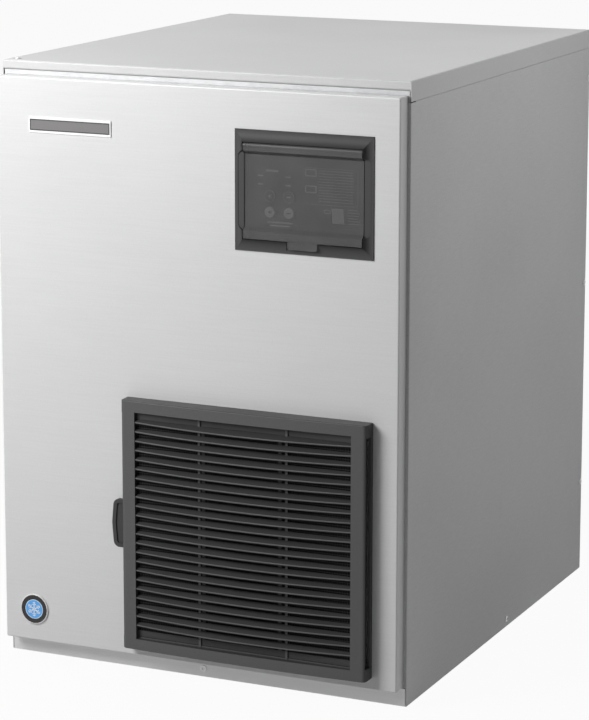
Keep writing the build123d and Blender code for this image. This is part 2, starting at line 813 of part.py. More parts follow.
# Display cover: a smoked clear plate with a barrel along its top edge, hinged on two pins.
# Its middle is set back between an upper and a lower strip, and a finger tab hangs below.
with BuildPart() as display_cover:
    with BuildSketch(Plane.YZ.offset(bezel_centre_x)):
        with BuildLine():
            band_top = bezel_centre_z + cover_band_height / 2
            band_bottom = bezel_centre_z - cover_band_height / 2
            deep = bezel_face + cover_band_depth
            step = cover_band_slope
            Polyline(
                (bezel_face, hinge_z),
                (bezel_face, band_top),
                (deep, band_top - step),
                (deep, band_bottom + step),
                (bezel_face, band_bottom),
                (bezel_face, cover_bottom),
                (bezel_face + cover_sheet, cover_bottom),
                (bezel_face + cover_sheet, band_bottom + cover_sheet * 0.4),
                (deep + cover_sheet, band_bottom + step + cover_sheet * 0.4),
                (deep + cover_sheet, band_top - step - cover_sheet * 0.4),
                (bezel_face + cover_sheet, band_top - cover_sheet * 0.4),
                (bezel_face + cover_sheet, hinge_z),
                close=True,
            )
        make_face()
        with Locations((hinge_y, hinge_z)):
            Circle(hinge_radius)
    extrude(amount=cover_width / 2, both=True)
    with BuildSketch(Plane.XZ.offset(-(bezel_face + cover_tab_setback + cover_sheet))) as tab_outline:
        with Locations((bezel_centre_x, cover_bottom + 1)):
            Rectangle(cover_tab_width, cover_tab_drop + 1, align=(Align.CENTER, Align.MAX))
        fillet(tab_outline.vertices().group_by(Axis.Y)[0], radius=cover_tab_corner)
    extrude(amount=cover_sheet)
    with BuildSketch(Plane.YZ.offset(bezel_centre_x)):
        with Locations((hinge_y, hinge_z)):
            Circle(cover_pin_radius)
    extrude(amount=cover_width / 2 + cover_pin_length, both=True)
finish(display_cover, "display_cover")

# Control plate behind the cover, with holes for the buttons and the power switch
button_places = [
    (bezel_centre_x + button_group_x + column * button_spacing_x / 2,
     bezel_centre_z + button_group_z + row * button_spacing_z / 2)
    for row in (1, -1) for column in (-1, 1)
]
rocker_place = (bezel_centre_x + rocker_x, bezel_centre_z + rocker_z)
plate_rear = plate_front + control_plate_sheet
plate_half_width = well_width / 2 + control_plate_overlap
plate_half_height = well_height / 2 + control_plate_overlap
with BuildPart() as control_plate:
    with BuildSketch(Plane.XZ.offset(-plate_rear)):
        with Locations((bezel_centre_x, bezel_centre_z)):
            Rectangle(2 * plate_half_width, 2 * plate_half_height)
        with Locations(*button_places):
            Circle(button_radius + button_clearance, mode=Mode.SUBTRACT)
        with Locations(rocker_place):
            Rectangle(rocker_width + 2 * rocker_gap, rocker_height + 2 * rocker_gap, mode=Mode.SUBTRACT)
    extrude(amount=control_plate_sheet)
finish(control_plate, "control_plate")

# Four push buttons: a cap with a flange behind the plate and a stem to the switch
for number, place in enumerate(button_places, start=1):
    with BuildPart() as push_button:
        disc(*place, plate_front - button_height, plate_rear + 0.1 + button_flange, button_radius)
        fillet(push_button.faces().sort_by(Axis.Y)[0].edges(), radius=1.0)
        disc(*place, plate_rear + 0.1, plate_rear + 0.1 + button_flange, button_radius + 1.3)
        disc(*place, plate_rear, plate_rear + button_flange + button_stem, 2.2)
    finish(push_button, f"push_button_{number}")

# Small board with four tact switches, held behind the control plate on two posts
board_front = plate_rear + button_flange + button_stem + button_travel + 0.15 + switch_block_height
board_x = bezel_centre_x + button_group_x
board_z = bezel_centre_z + button_group_z
with BuildPart() as switch_board:
    block(
        board_x - 32, board_x + 32, board_front, board_front + switch_board_sheet,
        board_z - 24, board_z + 24,
    )
    for place in button_places:
        with Locations((place[0], board_front - switch_block_height / 2, place[1])):
            Box(switch_block, switch_block_height, switch_block)
    for corner in ((-28, 20), (28, -20)):
        disc(board_x + corner[0], board_z + corner[1], plate_rear, board_front, 2.5)
finish(switch_board, "switch_board")

# Power switch: a housing behind the plate, and the rocker that turns on two pins in it
rocker_axis_y = plate_rear + rocker_pin_radius + 0.4
housing_back = plate_rear + 15
with BuildPart() as power_switch_body:
    block(
        rocker_place[0] - rocker_width / 2 - 3, rocker_place[0] + rocker_width / 2 + 3,
        plate_rear, housing_back,
        rocker_place[1] - rocker_height / 2 - 3, rocker_place[1] + rocker_height / 2 + 3,
    )
    block(
        rocker_place[0] - rocker_width / 2 - rocker_gap, rocker_place[0] + rocker_width / 2 + rocker_gap,
        plate_rear, plate_rear + 7,
        rocker_place[1] - rocker_height / 2 - rocker_gap, rocker_place[1] + rocker_height / 2 + rocker_gap,
        mode=Mode.SUBTRACT,
    )
    with BuildSketch(Plane.YZ.offset(rocker_place[0])):
        with Locations((rocker_axis_y, rocker_place[1])):
            Circle(rocker_pin_radius + hinge_clearance)
    extrude(amount=rocker_width / 2 + rocker_gap + 1.6, both=True, mode=Mode.SUBTRACT)
finish(power_switch_body, "power_switch_body")

with BuildPart() as power_rocker:
    tilt = radians(rocker_tilt)
    rocker_origin = (rocker_place[0], rocker_axis_y, rocker_place[1])
    with BuildSketch(Plane(rocker_origin, x_dir=(0, cos(tilt), sin(tilt)), z_dir=(1, 0, 0))):
        with BuildLine():
            half = rocker_height / 2 - 0.3
            Polyline(
                (-4.0, -half), (-2.6, 0), (-4.0, half),
                (1.2, half - 0.8), (3.0, 0), (1.2, -half + 0.8), close=True,
            )
        make_face()
        Circle(2.4)
    extrude(amount=rocker_width / 2, both=True)
    with BuildSketch(Plane(rocker_origin, x_dir=(0, 1, 0), z_dir=(1, 0, 0))):
        Circle(rocker_pin_radius)
    extrude(amount=rocker_width / 2 + rocker_gap + 1.4, both=True)
finish(power_rocker, "power_rocker")

# Name plate and badge, plain
with BuildPart() as name_plate:
    with BuildSketch(Plane.XZ.offset(-panel_face)):
        with Locations((plate_centre_x, plate_centre_z)):
            Rectangle(plate_width, plate_height)
    extrude(amount=plate_thickness)
    chamfer(name_plate.faces().sort_by(Axis.Y)[0].edges(), length=0.4)
finish(name_plate, "name_plate")

with BuildPart() as round_badge:
    disc(badge_centre_x, badge_centre_z, panel_face - badge_thickness, panel_face, badge_radius)
    fillet(round_badge.faces().sort_by(Axis.Y)[0].edges(), radius=0.8)
finish(round_badge, "round_badge")

# Screws of the casing: pan heads with a dome and a cross recess, each on its own shank
rim_height = screw_head_height * 0.45
dome_rise = screw_head_height - rim_height
dome_radius = (dome_rise ** 2 + screw_head_radius ** 2) / (2 * dome_rise)
with BuildPart() as screw:
    with BuildSketch(Plane.XZ):
        with BuildLine():
            Polyline(
                (0, screw_head_height), (0, -screw_length), (screw_radius, -screw_length), (screw_radius, 0),
                (screw_head_radius, 0), (screw_head_radius, rim_height),
            )
            JernArc(
                (0, screw_head_height), (1, 0), dome_radius,
                -degrees(asin(screw_head_radius / dome_radius)),
            )
        make_face()
    revolve(axis=Axis.Z)
    with Locations((0, 0, screw_head_height)):
        Box(screw_cross_length, screw_cross_width, 2 * screw_cross_depth, mode=Mode.SUBTRACT)
        Box(screw_cross_width, screw_cross_length, 2 * screw_cross_depth, mode=Mode.SUBTRACT)

screw_seats = [
    Plane((0, front, base_screw_height), z_dir=(0, -1, 0)),
    Plane((top_screw_x, front + top_screw_depth, cabinet_height), z_dir=(0, 0, 1)),
]
for side in (-1, 1):
    screw_seats.append(
        Plane((side * half_width, front + base_side_screw_depth, base_screw_height), z_dir=(side, 0, 0))
    )
    for height in rear_screw_heights:
        screw_seats.append(Plane((side * half_width, rear - rear_screw_inset, height), z_dir=(side, 0, 0)))
casing_screws = Compound(label="casing_screws", children=[screw.part.moved(seat.location) for seat in screw_seats])
export_step(casing_screws, "parts/casing_screws.step")

# Ice maker, from the base up: gearbox with its motor beside it, lower housing, evaporator
axis_y = front + evaporator_place
gearbox_top = base_sheet + gearbox_foot + gearbox_height
with BuildPart() as gearbox:
    with BuildSketch(Plane.XY.offset(base_sheet)):
        with Locations((evaporator_x, axis_y)):
            RectangleRounded(2 * gearbox_radius + 16, 2 * gearbox_radius + 16, radius=14)
    extrude(amount=gearbox_foot)
    arm = gear_motor_offset - gear_motor_radius
    with BuildSketch(Plane.XY.offset(base_sheet + gearbox_foot)):
        with Locations((evaporator_x, axis_y + (gearbox_radius - arm) / 2)):
            RectangleRounded(2 * gearbox_radius, gearbox_radius + arm, radius=12)
    extrude(amount=gearbox_height)
    fillet(gearbox.faces().sort_by(Axis.Z)[-1].edges(), radius=3)
    with BuildSketch(Plane.XY.offset(gearbox_top)):
        with Locations((evaporator_x, axis_y)):
            Circle(auger_journal + 10)
    extrude(amount=-30, mode=Mode.SUBTRACT)
finish(gearbox, "gearbox")

with BuildPart() as drive_motor:
    motor_y = axis_y - gear_motor_offset
    with BuildSketch(Plane.XY.offset(base_sheet)):
        with Locations((evaporator_x, motor_y)):
            Circle(gear_motor_radius)
    extrude(amount=gearbox_foot + gear_motor_height)
    with BuildSketch(Plane.XY.offset(base_sheet + gearbox_foot + 12)):
        with Locations((evaporator_x, motor_y)):
            with PolarLocations(gear_motor_radius, 16):
                Rectangle(3, 5)
    extrude(amount=gear_motor_height - 30, mode=Mode.SUBTRACT)
finish(drive_motor, "drive_motor")

housing_top = gearbox_top + housing_height
with BuildPart() as lower_housing:
    with BuildSketch(Plane.XZ):
        with BuildLine():
            Polyline(
                (auger_journal + bearing_wall, gearbox_top), (housing_radius, gearbox_top),
                (housing_radius, gearbox_top + 8), (housing_radius - 9, gearbox_top + 12),
                (housing_radius - 9, housing_top - 8), (housing_radius - 2, housing_top - 8),
                (housing_radius - 2, housing_top), (evaporator_bore, housing_top),
                (evaporator_bore, housing_top - 26), (auger_journal + bearing_wall, housing_top - 30),
                close=True,
            )
        make_face()
    revolve(axis=Axis.Z)
lower_housing.part = lower_housing.part.moved(Location((evaporator_x, axis_y, 0)))
finish(lower_housing, "lower_housing")

evaporator_top = housing_top + evaporator_height
with BuildPart() as evaporator_cylinder:
    with BuildSketch(Plane.XY.offset(housing_top)):
        with Locations((evaporator_x, axis_y)):
            Circle(evaporator_bore + evaporator_wall)
            Circle(evaporator_bore, mode=Mode.SUBTRACT)
    extrude(amount=evaporator_height)
    with BuildSketch(Plane.XY.offset(evaporator_top - 8)):
        with Locations((evaporator_x, axis_y)):
            Circle(housing_radius - 2)
            Circle(evaporator_bore, mode=Mode.SUBTRACT)
    extrude(amount=8)
finish(evaporator_cylinder, "evaporator_cylinder")

# Evaporator coil: the turns of tube brazed round the cylinder, each drawn as a closed ring,
# joined by the solder fillet between them
coil_inner = evaporator_bore + evaporator_wall
coil_pitch = (evaporator_height - 50) / (coil_turns - 1)
with BuildPart() as evaporator_coil:
    with BuildSketch(Plane.XZ):
        with BuildLine():
            low = housing_top + 22 - coil_tube_radius
            high = low + (coil_turns - 1) * coil_pitch + 2 * coil_tube_radius
            Polyline((coil_inner, low), (coil_inner + 2, low), (coil_inner + 2, high), (coil_inner, high), close=True)
        make_face()
        with Locations(*[
            (coil_inner + coil_tube_radius, housing_top + 22 + turn * coil_pitch) for turn in range(coil_turns)
        ]):
            RegularPolygon(coil_tube_radius, 6, major_radius=False, rotation=30)
    revolve(axis=Axis.Z)
evaporator_coil.part = evaporator_coil.part.moved(Location((evaporator_x, axis_y, 0)))
finish(evaporator_coil, "evaporator_coil")

insulation_inner = coil_inner + 2 * coil_tube_radius + 0.5
insulation_outer = evaporator_bore + evaporator_wall + insulation_wall
with BuildPart() as insulation_sleeve:
    with BuildSketch(Plane.XY.offset(housing_top)):
        with Locations((evaporator_x, axis_y)):
            Circle(insulation_outer)
            Circle(insulation_inner, mode=Mode.SUBTRACT)
    extrude(amount=evaporator_height - 9)
finish(insulation_sleeve, "insulation_sleeve")

# Auger: a shaft with one spiral flight that scrapes the ice off the bore and lifts it, a
# journal in the bearing at each end, and the cutter that turns with it above the head
auger_bottom = housing_top - 22
auger_top = evaporator_top - 6
head_top = evaporator_top + head_height
with BuildPart() as auger:
    with BuildSketch(Plane.XY.offset(auger_bottom)):
        with Locations((evaporator_x, axis_y)):
            Circle(auger_core)
    extrude(amount=auger_top - auger_bottom)
    with BuildSketch(Plane.XY.offset(gearbox_top - 26)):
        with Locations((evaporator_x, axis_y)):
            Circle(auger_journal)
    extrude(amount=head_top + cutter_height - gearbox_top + 26)
    flight_root = auger_core - 2
    flight_tip = evaporator_bore - auger_clearance
    with BuildLine():
        flight_path = Helix(
            pitch=auger_pitch,
            height=auger_top - auger_bottom - 2 * auger_flight,
            radius=(flight_root + flight_tip) / 2,
            center=(evaporator_x, axis_y, auger_bottom + auger_flight),
        )
    with BuildSketch(Plane(flight_path @ 0, x_dir=(1, 0, 0), z_dir=flight_path % 0)):
        Rectangle(flight_tip - flight_root, auger_flight)
    sweep(path=flight_path, is_frenet=True)
finish(auger, "auger")

# Extruding head: closes the top of the evaporator, carries the upper bearing in its middle
# and squeezes the ice through a ring of slots
with BuildPart() as extruding_head:
    with BuildSketch(Plane.XY.offset(evaporator_top)):
        with Locations((evaporator_x, axis_y)):
            Circle(housing_radius - 2)
            Circle(auger_journal + bearing_wall, mode=Mode.SUBTRACT)
    extrude(amount=head_height)
    with BuildSketch(Plane.XY.offset(evaporator_top)):
        with Locations((evaporator_x, axis_y)):
            with PolarLocations((auger_journal + 6 + evaporator_bore) / 2, head_slots):
                SlotOverall(evaporator_bore - auger_journal - 8, 9)
    extrude(amount=head_height, mode=Mode.SUBTRACT)
finish(extruding_head, "extruding_head")

# Two plain bearings for the auger, one in the lower housing and one in the extruding head
bearings = []
for seat_z in (gearbox_top, evaporator_top + head_height - bearing_length):
    with BuildPart() as bush:
        with BuildSketch(Plane.XY.offset(seat_z)):
            with Locations((evaporator_x, axis_y)):
                Circle(auger_journal + bearing_wall)
                Circle(auger_journal + journal_clearance, mode=Mode.SUBTRACT)
        extrude(amount=bearing_length)
    bearings.append(bush.part)
export_step(Compound(label="auger_bearings", children=bearings), "parts/auger_bearings.step")

with BuildPart() as ice_cutter:
    with BuildSketch(Plane.XY.offset(head_top + 0.5)):
        with Locations((evaporator_x, axis_y)):
            Circle(auger_journal + 8)
            with PolarLocations(cutter_radius / 2, 3):
                Rectangle(cutter_radius, 9)
            Circle(auger_journal, mode=Mode.SUBTRACT)
    extrude(amount=cutter_height - 4)
finish(ice_cutter, "ice_cutter")

# Spout: the hood over the cutter that turns the flakes sideways into the chute
spout_top = head_top + spout_height
spout_half = housing_radius - 2
chute_y = front + chute_depth_place
chute_left = chute_x - chute_width / 2
chute_right = chute_x + chute_width / 2
pivot_z = head_top + paddle_pivot_height
with BuildPart() as ice_spout:
    with BuildSketch(Plane.XY.offset(head_top)) as spout_plan:
        with Locations((evaporator_x, axis_y)):
            Circle(spout_half)
        with Locations(((evaporator_x + chute_left) / 2, axis_y)):
            Rectangle(evaporator_x - chute_left, 2 * spout_half - 8)
    extrude(amount=spout_height)
    with BuildSketch(Plane.XY.offset(head_top)):
        with Locations((evaporator_x, axis_y)):
            Circle(spout_half - spout_wall)
        with Locations(((evaporator_x + chute_left + spout_wall) / 2, axis_y)):
            Rectangle(evaporator_x - chute_left - spout_wall, 2 * spout_half - 8 - 2 * spout_wall)
    extrude(amount=spout_height - spout_wall, mode=Mode.SUBTRACT)
    # floor between the head and the chute, sloped so that the flakes slide off
    with BuildSketch(Plane.XZ.offset(-axis_y)):
        with BuildLine():
            Polyline(
                (evaporator_x - spout_half + 2, head_top), (chute_right, head_top), (chute_right, head_top + 4),
                (evaporator_x - spout_half + 2, head_top + 7), close=True,
            )
        make_face()
    extrude(amount=spout_half - 4 - spout_wall / 2, both=True)
    with BuildSketch(Plane.XY.offset(head_top)):
        with Locations((evaporator_x, axis_y)):
            Circle(spout_half - spout_wall)
    extrude(amount=spout_height - spout_wall, mode=Mode.SUBTRACT)
    disc(chute_x, pivot_z, axis_y - spout_half, axis_y + spout_half, paddle_pin_radius + hinge_clearance,
         mode=Mode.SUBTRACT)
finish(ice_spout, "ice_spout")

# Chute: a rectangular duct from the spout down to the opening in the base
with BuildPart() as ice_chute:
    with BuildSketch(Plane.XY.offset(base_sheet)):
        with Locations((chute_x, chute_y)):
            RectangleRounded(chute_width + 2 * chute_flange, chute_depth + 2 * chute_flange, radius=chute_mouth_radius)
    extrude(amount=chute_wall)
    with BuildSketch(Plane.XY.offset(base_sheet)):
        with Locations((chute_x, chute_y)):
            Rectangle(chute_width, 2 * spout_half - 8)
    extrude(amount=head_top - base_sheet)
    with BuildSketch(Plane.XY.offset(base_sheet)):
        with Locations((chute_x, chute_y)):
            Rectangle(chute_width - 2 * chute_wall, 2 * spout_half - 8 - 2 * chute_wall)
    extrude(amount=head_top - base_sheet, mode=Mode.SUBTRACT)
finish(ice_chute, "ice_chute")


def tube(points, radius, bend):
    """A bent pipe or hose along straight runs joined by bends."""
    with BuildLine() as run:
        FilletPolyline(*points, radius=bend)
    with BuildPart() as pipe:
        with BuildSketch(Plane(run.line @ 0, z_dir=run.line % 0)):
            Circle(radius)
        sweep(path=run.line)
    return pipe


# Bin control: a flap that hangs in the top of the chute on two pins. Ice that backs up in the
# chute swings it aside, which stops the machine.
paddle_reach = spout_half - 4 - spout_wall
with BuildPart() as control_paddle:
    block(
        chute_x - paddle_sheet / 2, chute_x + paddle_sheet / 2,
        axis_y - paddle_width / 2, axis_y + paddle_width / 2,
        pivot_z - paddle_drop, pivot_z,
    )
    with Locations(Location((chute_x, axis_y, pivot_z), (90, 0, 0))):
        Cylinder(paddle_pin_radius, 2 * paddle_reach + 2 * spout_wall - 1)
        Cylinder(paddle_pin_radius + 2, paddle_width)
finish(control_paddle, "control_paddle")

# Water tank with its lid, bracket and float
tank_y = front + tank_place
tank_top = tank_bottom_z + tank_height
with BuildPart() as water_tank:
    with BuildSketch(Plane.XY.offset(tank_bottom_z)):
        with Locations((tank_x, tank_y)):
            RectangleRounded(tank_width, tank_depth, radius=8)
    extrude(amount=tank_height)
    offset(amount=-tank_wall, openings=water_tank.faces().sort_by(Axis.Z)[-1])
finish(water_tank, "water_tank")

with BuildPart() as tank_lid:
    with BuildSketch(Plane.XY.offset(tank_top)):
        with Locations((tank_x, tank_y)):
            RectangleRounded(tank_width + 4, tank_depth + 4, radius=9)
            Circle(float_stem_radius + journal_clearance, mode=Mode.SUBTRACT)
    extrude(amount=tank_lid_sheet)
finish(tank_lid, "tank_lid")

float_bottom = tank_bottom_z + tank_wall + 22
with BuildPart() as tank_float:
    with BuildSketch(Plane.XY.offset(float_bottom)):
        with Locations((tank_x, tank_y)):
            Circle(float_radius)
    extrude(amount=float_height)
    fillet(tank_float.edges(), radius=4)
    with BuildSketch(Plane.XY.offset(float_bottom + float_height - 1)):
        with Locations((tank_x, tank_y)):
            Circle(float_stem_radius)
    extrude(amount=tank_top + tank_lid_sheet + 8 - (float_bottom + float_height - 1))
    with BuildSketch(Plane.XY.offset(tank_top + tank_lid_sheet + 0.3)):
        with Locations((tank_x, tank_y)):
            Circle(float_stem_radius + 4)
    extrude(amount=4)
finish(tank_float, "tank_float")

with BuildPart() as tank_bracket:
    block(
        -inner_half, -inner_half + tank_bracket_sheet,
        tank_y - 40, tank_y + 40,
        tank_bottom_z - tank_bracket_sheet, tank_bottom_z + 46,
    )
    block(
        -inner_half, tank_x + tank_width / 2 - 16,
        tank_y - 40, tank_y + 40,
        tank_bottom_z - tank_bracket_sheet, tank_bottom_z,
    )
    with Locations((tank_x - drain_hose_x, tank_y - drain_hose_y, tank_bottom_z)):
        Cylinder(hose_radius + 0.6, 4 * tank_bracket_sheet, mode=Mode.SUBTRACT)
finish(tank_bracket, "tank_bracket")

# Hoses: tank to evaporator, tank overflow to the drain, inlet valve to tank
feed_x = tank_x + tank_width / 2 - 7
feed_z = gearbox_top + feed_hose_rise
feed_hose = tube(
    [
        (feed_x, tank_y, tank_bottom_z), (feed_x, tank_y, feed_z),
        (feed_x, axis_y, feed_z), (evaporator_x - housing_radius + 9, axis_y, feed_z),
    ],
    hose_radius - 1, 8,
)

drain_run_x = (chute_left - inner_half) / 2
drain_hose = tube(
    [
        (tank_x - drain_hose_x, tank_y - drain_hose_y, tank_bottom_z),
        (tank_x - drain_hose_x, tank_y - drain_hose_y, tank_bottom_z - drain_hose_drop),
        (drain_run_x, tank_y - drain_hose_y, tank_bottom_z - drain_hose_shift),
        (drain_run_x, tank_y - drain_hose_y, drain_z),
        (drain_run_x, rear - drain_hose_turn, drain_z),
        (drain_x, rear - drain_hose_end, drain_z),
        (drain_x, rear - drain_fitting_depth, drain_z),
    ],
    hose_radius, 16,
)

with BuildPart() as drain_fitting:
    disc(drain_x, drain_z, rear - drain_fitting_depth, rear + rear_reach, drain_radius - 1)
    disc(drain_x, drain_z, rear_face - panel_sheet - 6, rear_face - panel_sheet, drain_radius + 5)
    with BuildSketch(Plane.XZ.offset(-rear_face)):
        with Locations((drain_x, drain_z)):
            RegularPolygon(drain_radius + 5, 6)
    extrude(amount=-6)
    disc(drain_x, drain_z, rear - 20, rear + rear_reach + 1, drain_bore, mode=Mode.SUBTRACT)
finish(drain_fitting, "drain_fitting")

# Water inlet: the valve inside, and its barrel through the rear panel with a nut against the
# panel and a threaded spigot for the supply hose
inlet_valve_front = rear - inlet_valve_depth
with BuildPart() as inlet_valve:
    disc(inlet_x, inlet_z, inlet_valve_front, rear_face + inlet_nut_height, inlet_barrel_radius)
    disc(inlet_x, inlet_z, rear_face + inlet_nut_height - 1, rear + rear_reach, inlet_radius)
    disc(inlet_x, inlet_z, rear_face - panel_sheet - 5, rear_face - panel_sheet, inlet_nut_radius)
    with BuildSketch(Plane.XZ.offset(-rear_face)):
        with Locations((inlet_x, inlet_z)):
            RegularPolygon(inlet_nut_radius, 6)
    extrude(amount=-inlet_nut_height)
    block(inlet_x - 14, inlet_x + 14, inlet_valve_front, inlet_valve_front + 32, inlet_z - 14, inlet_z + 14)
    block(
        inlet_x - 11, inlet_x + 11,
        inlet_valve_front + 4, inlet_valve_front + 28,
        inlet_z + 14, inlet_z + 46,
    )
    disc(inlet_x, inlet_z, rear - 26, rear + rear_reach + 1, inlet_bore, mode=Mode.SUBTRACT)
    with Locations(*[Location((inlet_x, rear + rear_reach - 2 - 1.8 * turn, inlet_z), (90, 0, 0)) for turn in range(4)]):
        Torus(inlet_radius, 0.45, mode=Mode.SUBTRACT)
finish(inlet_valve, "inlet_valve")

inlet_hose = tube(
    [
        (inlet_x, inlet_valve_front, inlet_z),
        (inlet_x, tank_y + inlet_hose_y, inlet_z),
        (inlet_x, tank_y + inlet_hose_y, tank_top + tank_lid_sheet),
    ],
    hose_radius - 2, 20,
)
water_hoses = Compound(label="water_hoses", children=[feed_hose.part, drain_hose.part, inlet_hose.part])
export_step(water_hoses, "parts/water_hoses.step")

# Condenser with its end plates, shroud, fan and motor
condenser_front = front + condenser_place
condenser_rear = condenser_front + condenser_thickness
condenser_top = condenser_bottom_z + condenser_height
fan_x = grille_centre_x
fan_z = condenser_bottom_z + condenser_height / 2
condenser_left = fan_x - condenser_width / 2
condenser_right = fan_x + condenser_width / 2
with BuildPart() as condenser:
    block(
        condenser_left + 12, condenser_right - 12, condenser_front, condenser_rear,
        condenser_bottom_z, condenser_top,
    )
    with BuildSketch(Plane.XZ.offset(-condenser_front)):
        with Locations((fan_x, fan_z)):
            with GridLocations(12, 0, 22, 1):
                Rectangle(1.5, condenser_height)
    extrude(amount=-4, mode=Mode.SUBTRACT)
    for side in (condenser_left + 10.5, condenser_right - 12):
        block(side, side + 1.5, condenser_front - 2, condenser_rear, condenser_bottom_z - 28.5, condenser_top)
    for row in range(6):
        for side, angle in ((condenser_left + 10.5, 180), (condenser_right - 10.5, 0)):
            with Locations((side, condenser_front + coil_depth, condenser_bottom_z + 34 + row * 44)):
                Box(9, 7, 22, align=(Align.MIN if angle == 0 else Align.MAX, Align.CENTER, Align.CENTER))
finish(condenser, "condenser")

shroud_rear = condenser_rear + shroud_depth
with BuildPart() as fan_shroud:
    block(condenser_left + 12, condenser_right - 12, condenser_rear, shroud_rear, condenser_bottom_z, condenser_top)
    offset(amount=-shroud_sheet, openings=fan_shroud.faces().sort_by(Axis.Y)[0])
    disc(fan_x, fan_z, shroud_rear - shroud_sheet, shroud_rear + 20, fan_radius + fan_tip_gap + shroud_sheet)
    disc(fan_x, fan_z, condenser_rear + 2, shroud_rear + 21, fan_radius + fan_tip_gap, mode=Mode.SUBTRACT)
finish(fan_shroud, "fan_shroud")

fan_front = shroud_rear + 2
with BuildPart() as fan:
    for blade_number in range(fan_blades):
        turn = radians(blade_number * 360 / fan_blades)
        outward = Vector(cos(turn), 0, sin(turn))
        across = Vector(-sin(turn) * sin(fan_pitch), -cos(fan_pitch), cos(turn) * sin(fan_pitch))
        with BuildSketch(Plane((fan_x, fan_front + fan_width / 2, fan_z), x_dir=outward, z_dir=across)):
            Polygon(
                (fan_hub_radius - 5, -fan_root_chord / 2), (fan_radius + 3, -fan_tip_chord / 2),
                (fan_radius + 3, fan_tip_chord / 2), (fan_hub_radius - 5, fan_root_chord / 2),
                align=None,
            )
        extrude(amount=fan_sheet / 2, both=True)
    disc(fan_x, fan_z, fan_front, fan_front + fan_width, fan_hub_radius)
    with Locations(Location((fan_x, fan_front + fan_width / 2, fan_z), (90, 0, 0))):
        Cylinder(fan_radius, fan_width, mode=Mode.INTERSECT)
    disc(fan_x, fan_z, fan_front + 6, fan_front + fan_width + 1, fan_shaft_radius + journal_clearance, mode=Mode.SUBTRACT)
finish(fan, "fan")

motor_front = fan_front + fan_width + 6
with BuildPart() as fan_motor:
    disc(fan_x, fan_z, motor_front, motor_front + fan_motor_length, fan_motor_radius)
    fillet(fan_motor.edges(), radius=5)
    disc(fan_x, fan_z, fan_front + 8, motor_front + 6, fan_shaft_radius)
finish(fan_motor, "fan_motor")

with BuildPart() as fan_motor_bracket:
    block(fan_x - 34, fan_x + 34, motor_front + 8, motor_front + 50, base_sheet, base_sheet + 2)
    block(fan_x - 26, fan_x + 26, motor_front + 24, motor_front + 27, base_sheet, fan_z)
    disc(fan_x, fan_z, motor_front + 20, motor_front + 31, fan_motor_radius, mode=Mode.SUBTRACT)
    disc(fan_x, fan_z, motor_front + 20, motor_front + 31, fan_motor_radius + 3)
    disc(fan_x, fan_z, motor_front + 19, motor_front + 32, fan_motor_radius, mode=Mode.SUBTRACT)
finish(fan_motor_bracket, "fan_motor_bracket")

# Compressor on four rubber mounts, with its terminal cover
compressor_y = front + compressor_place
shell_bottom = base_sheet + compressor_foot_height
shell_top = shell_bottom + compressor_height
with BuildPart() as compressor:
    with BuildSketch(Plane.XY.offset(shell_bottom)):
        with Locations((compressor_x, compressor_y)):
            Circle(compressor_radius)
    extrude(amount=compressor_height)
    fillet(compressor.faces().sort_by(Axis.Z)[-1].edges(), radius=30)
    fillet(compressor.faces().sort_by(Axis.Z)[0].edges(), radius=14)
    with BuildSketch(Plane.XY.offset(shell_bottom + compressor_height / 2)):
        with Locations((compressor_x, compressor_y)):
            Circle(compressor_radius + 2)
    extrude(amount=4)
    with BuildSketch(Plane.XY.offset(shell_bottom - 3)):
        with Locations((compressor_x, compressor_y)):
            RectangleRounded(2 * compressor_radius + 10, 2 * compressor_radius - 10, radius=12)
            with GridLocations(2 * compressor_radius - 18, 2 * compressor_radius - 38, 2, 2):
                Circle(5, mode=Mode.SUBTRACT)
    extrude(amount=4)
finish(compressor, "compressor")

compressor_mounts = []
for spot in GridLocations(2 * compressor_radius - 18, 2 * compressor_radius - 38, 2, 2):
    with BuildPart() as mount:
        with BuildSketch(Plane.XY.offset(base_sheet)):
            Circle(10)
        extrude(amount=compressor_foot_height - 3)
        with BuildSketch(Plane.XY.offset(base_sheet)):
            Circle(4.9)
        extrude(amount=compressor_foot_height + 4)
    place = Location((compressor_x, compressor_y, 0)) * spot
    compressor_mounts.append(mount.part.moved(place))
mounts_group = Compound(label="compressor_mounts", children=compressor_mounts)
export_step(mounts_group, "parts/compressor_mounts.step")

with BuildPart() as terminal_cover:
    with BuildSketch(Plane.XY.offset(shell_bottom + 50)):
        with Locations((compressor_x, compressor_y - compressor_radius - 9)):
            RectangleRounded(52, 38, radius=5)
        with Locations((compressor_x, compressor_y)):
            Circle(compressor_radius + 0.3, mode=Mode.SUBTRACT)
    extrude(amount=42)
finish(terminal_cover, "terminal_cover")

# Refrigerant lines: hot gas to the condenser, liquid through the drier and the expansion
# valve to the evaporator, and suction back to the compressor
side_run_x = compressor_x + compressor_radius + line_gap
discharge_z = shell_top + line_rise
discharge_line = tube(
    [
        (compressor_x + discharge_x, compressor_y - discharge_y, shell_top),
        (compressor_x + discharge_x, compressor_y - discharge_y, discharge_z),
        (side_run_x, compressor_y - discharge_y, discharge_z),
        (side_run_x, condenser_front + coil_depth, discharge_z),
        (condenser_right - 10.5, condenser_front + coil_depth, discharge_z),
    ],
    line_radius, 12,
)
finish(discharge_line, "discharge_line")

drier_start = front + drier_place
with BuildPart() as drier:
    disc(side_run_x, condenser_outlet_z, drier_start, drier_start + drier_length, drier_radius)
    fillet(drier.edges(), radius=7)
finish(drier, "drier")

outlet_line = tube(
    [
        (condenser_right - 10.5, condenser_front + coil_depth, condenser_outlet_z),
        (side_run_x, condenser_front + coil_depth, condenser_outlet_z),
        (side_run_x, drier_start, condenser_outlet_z),
    ],
    line_radius, 12,
)

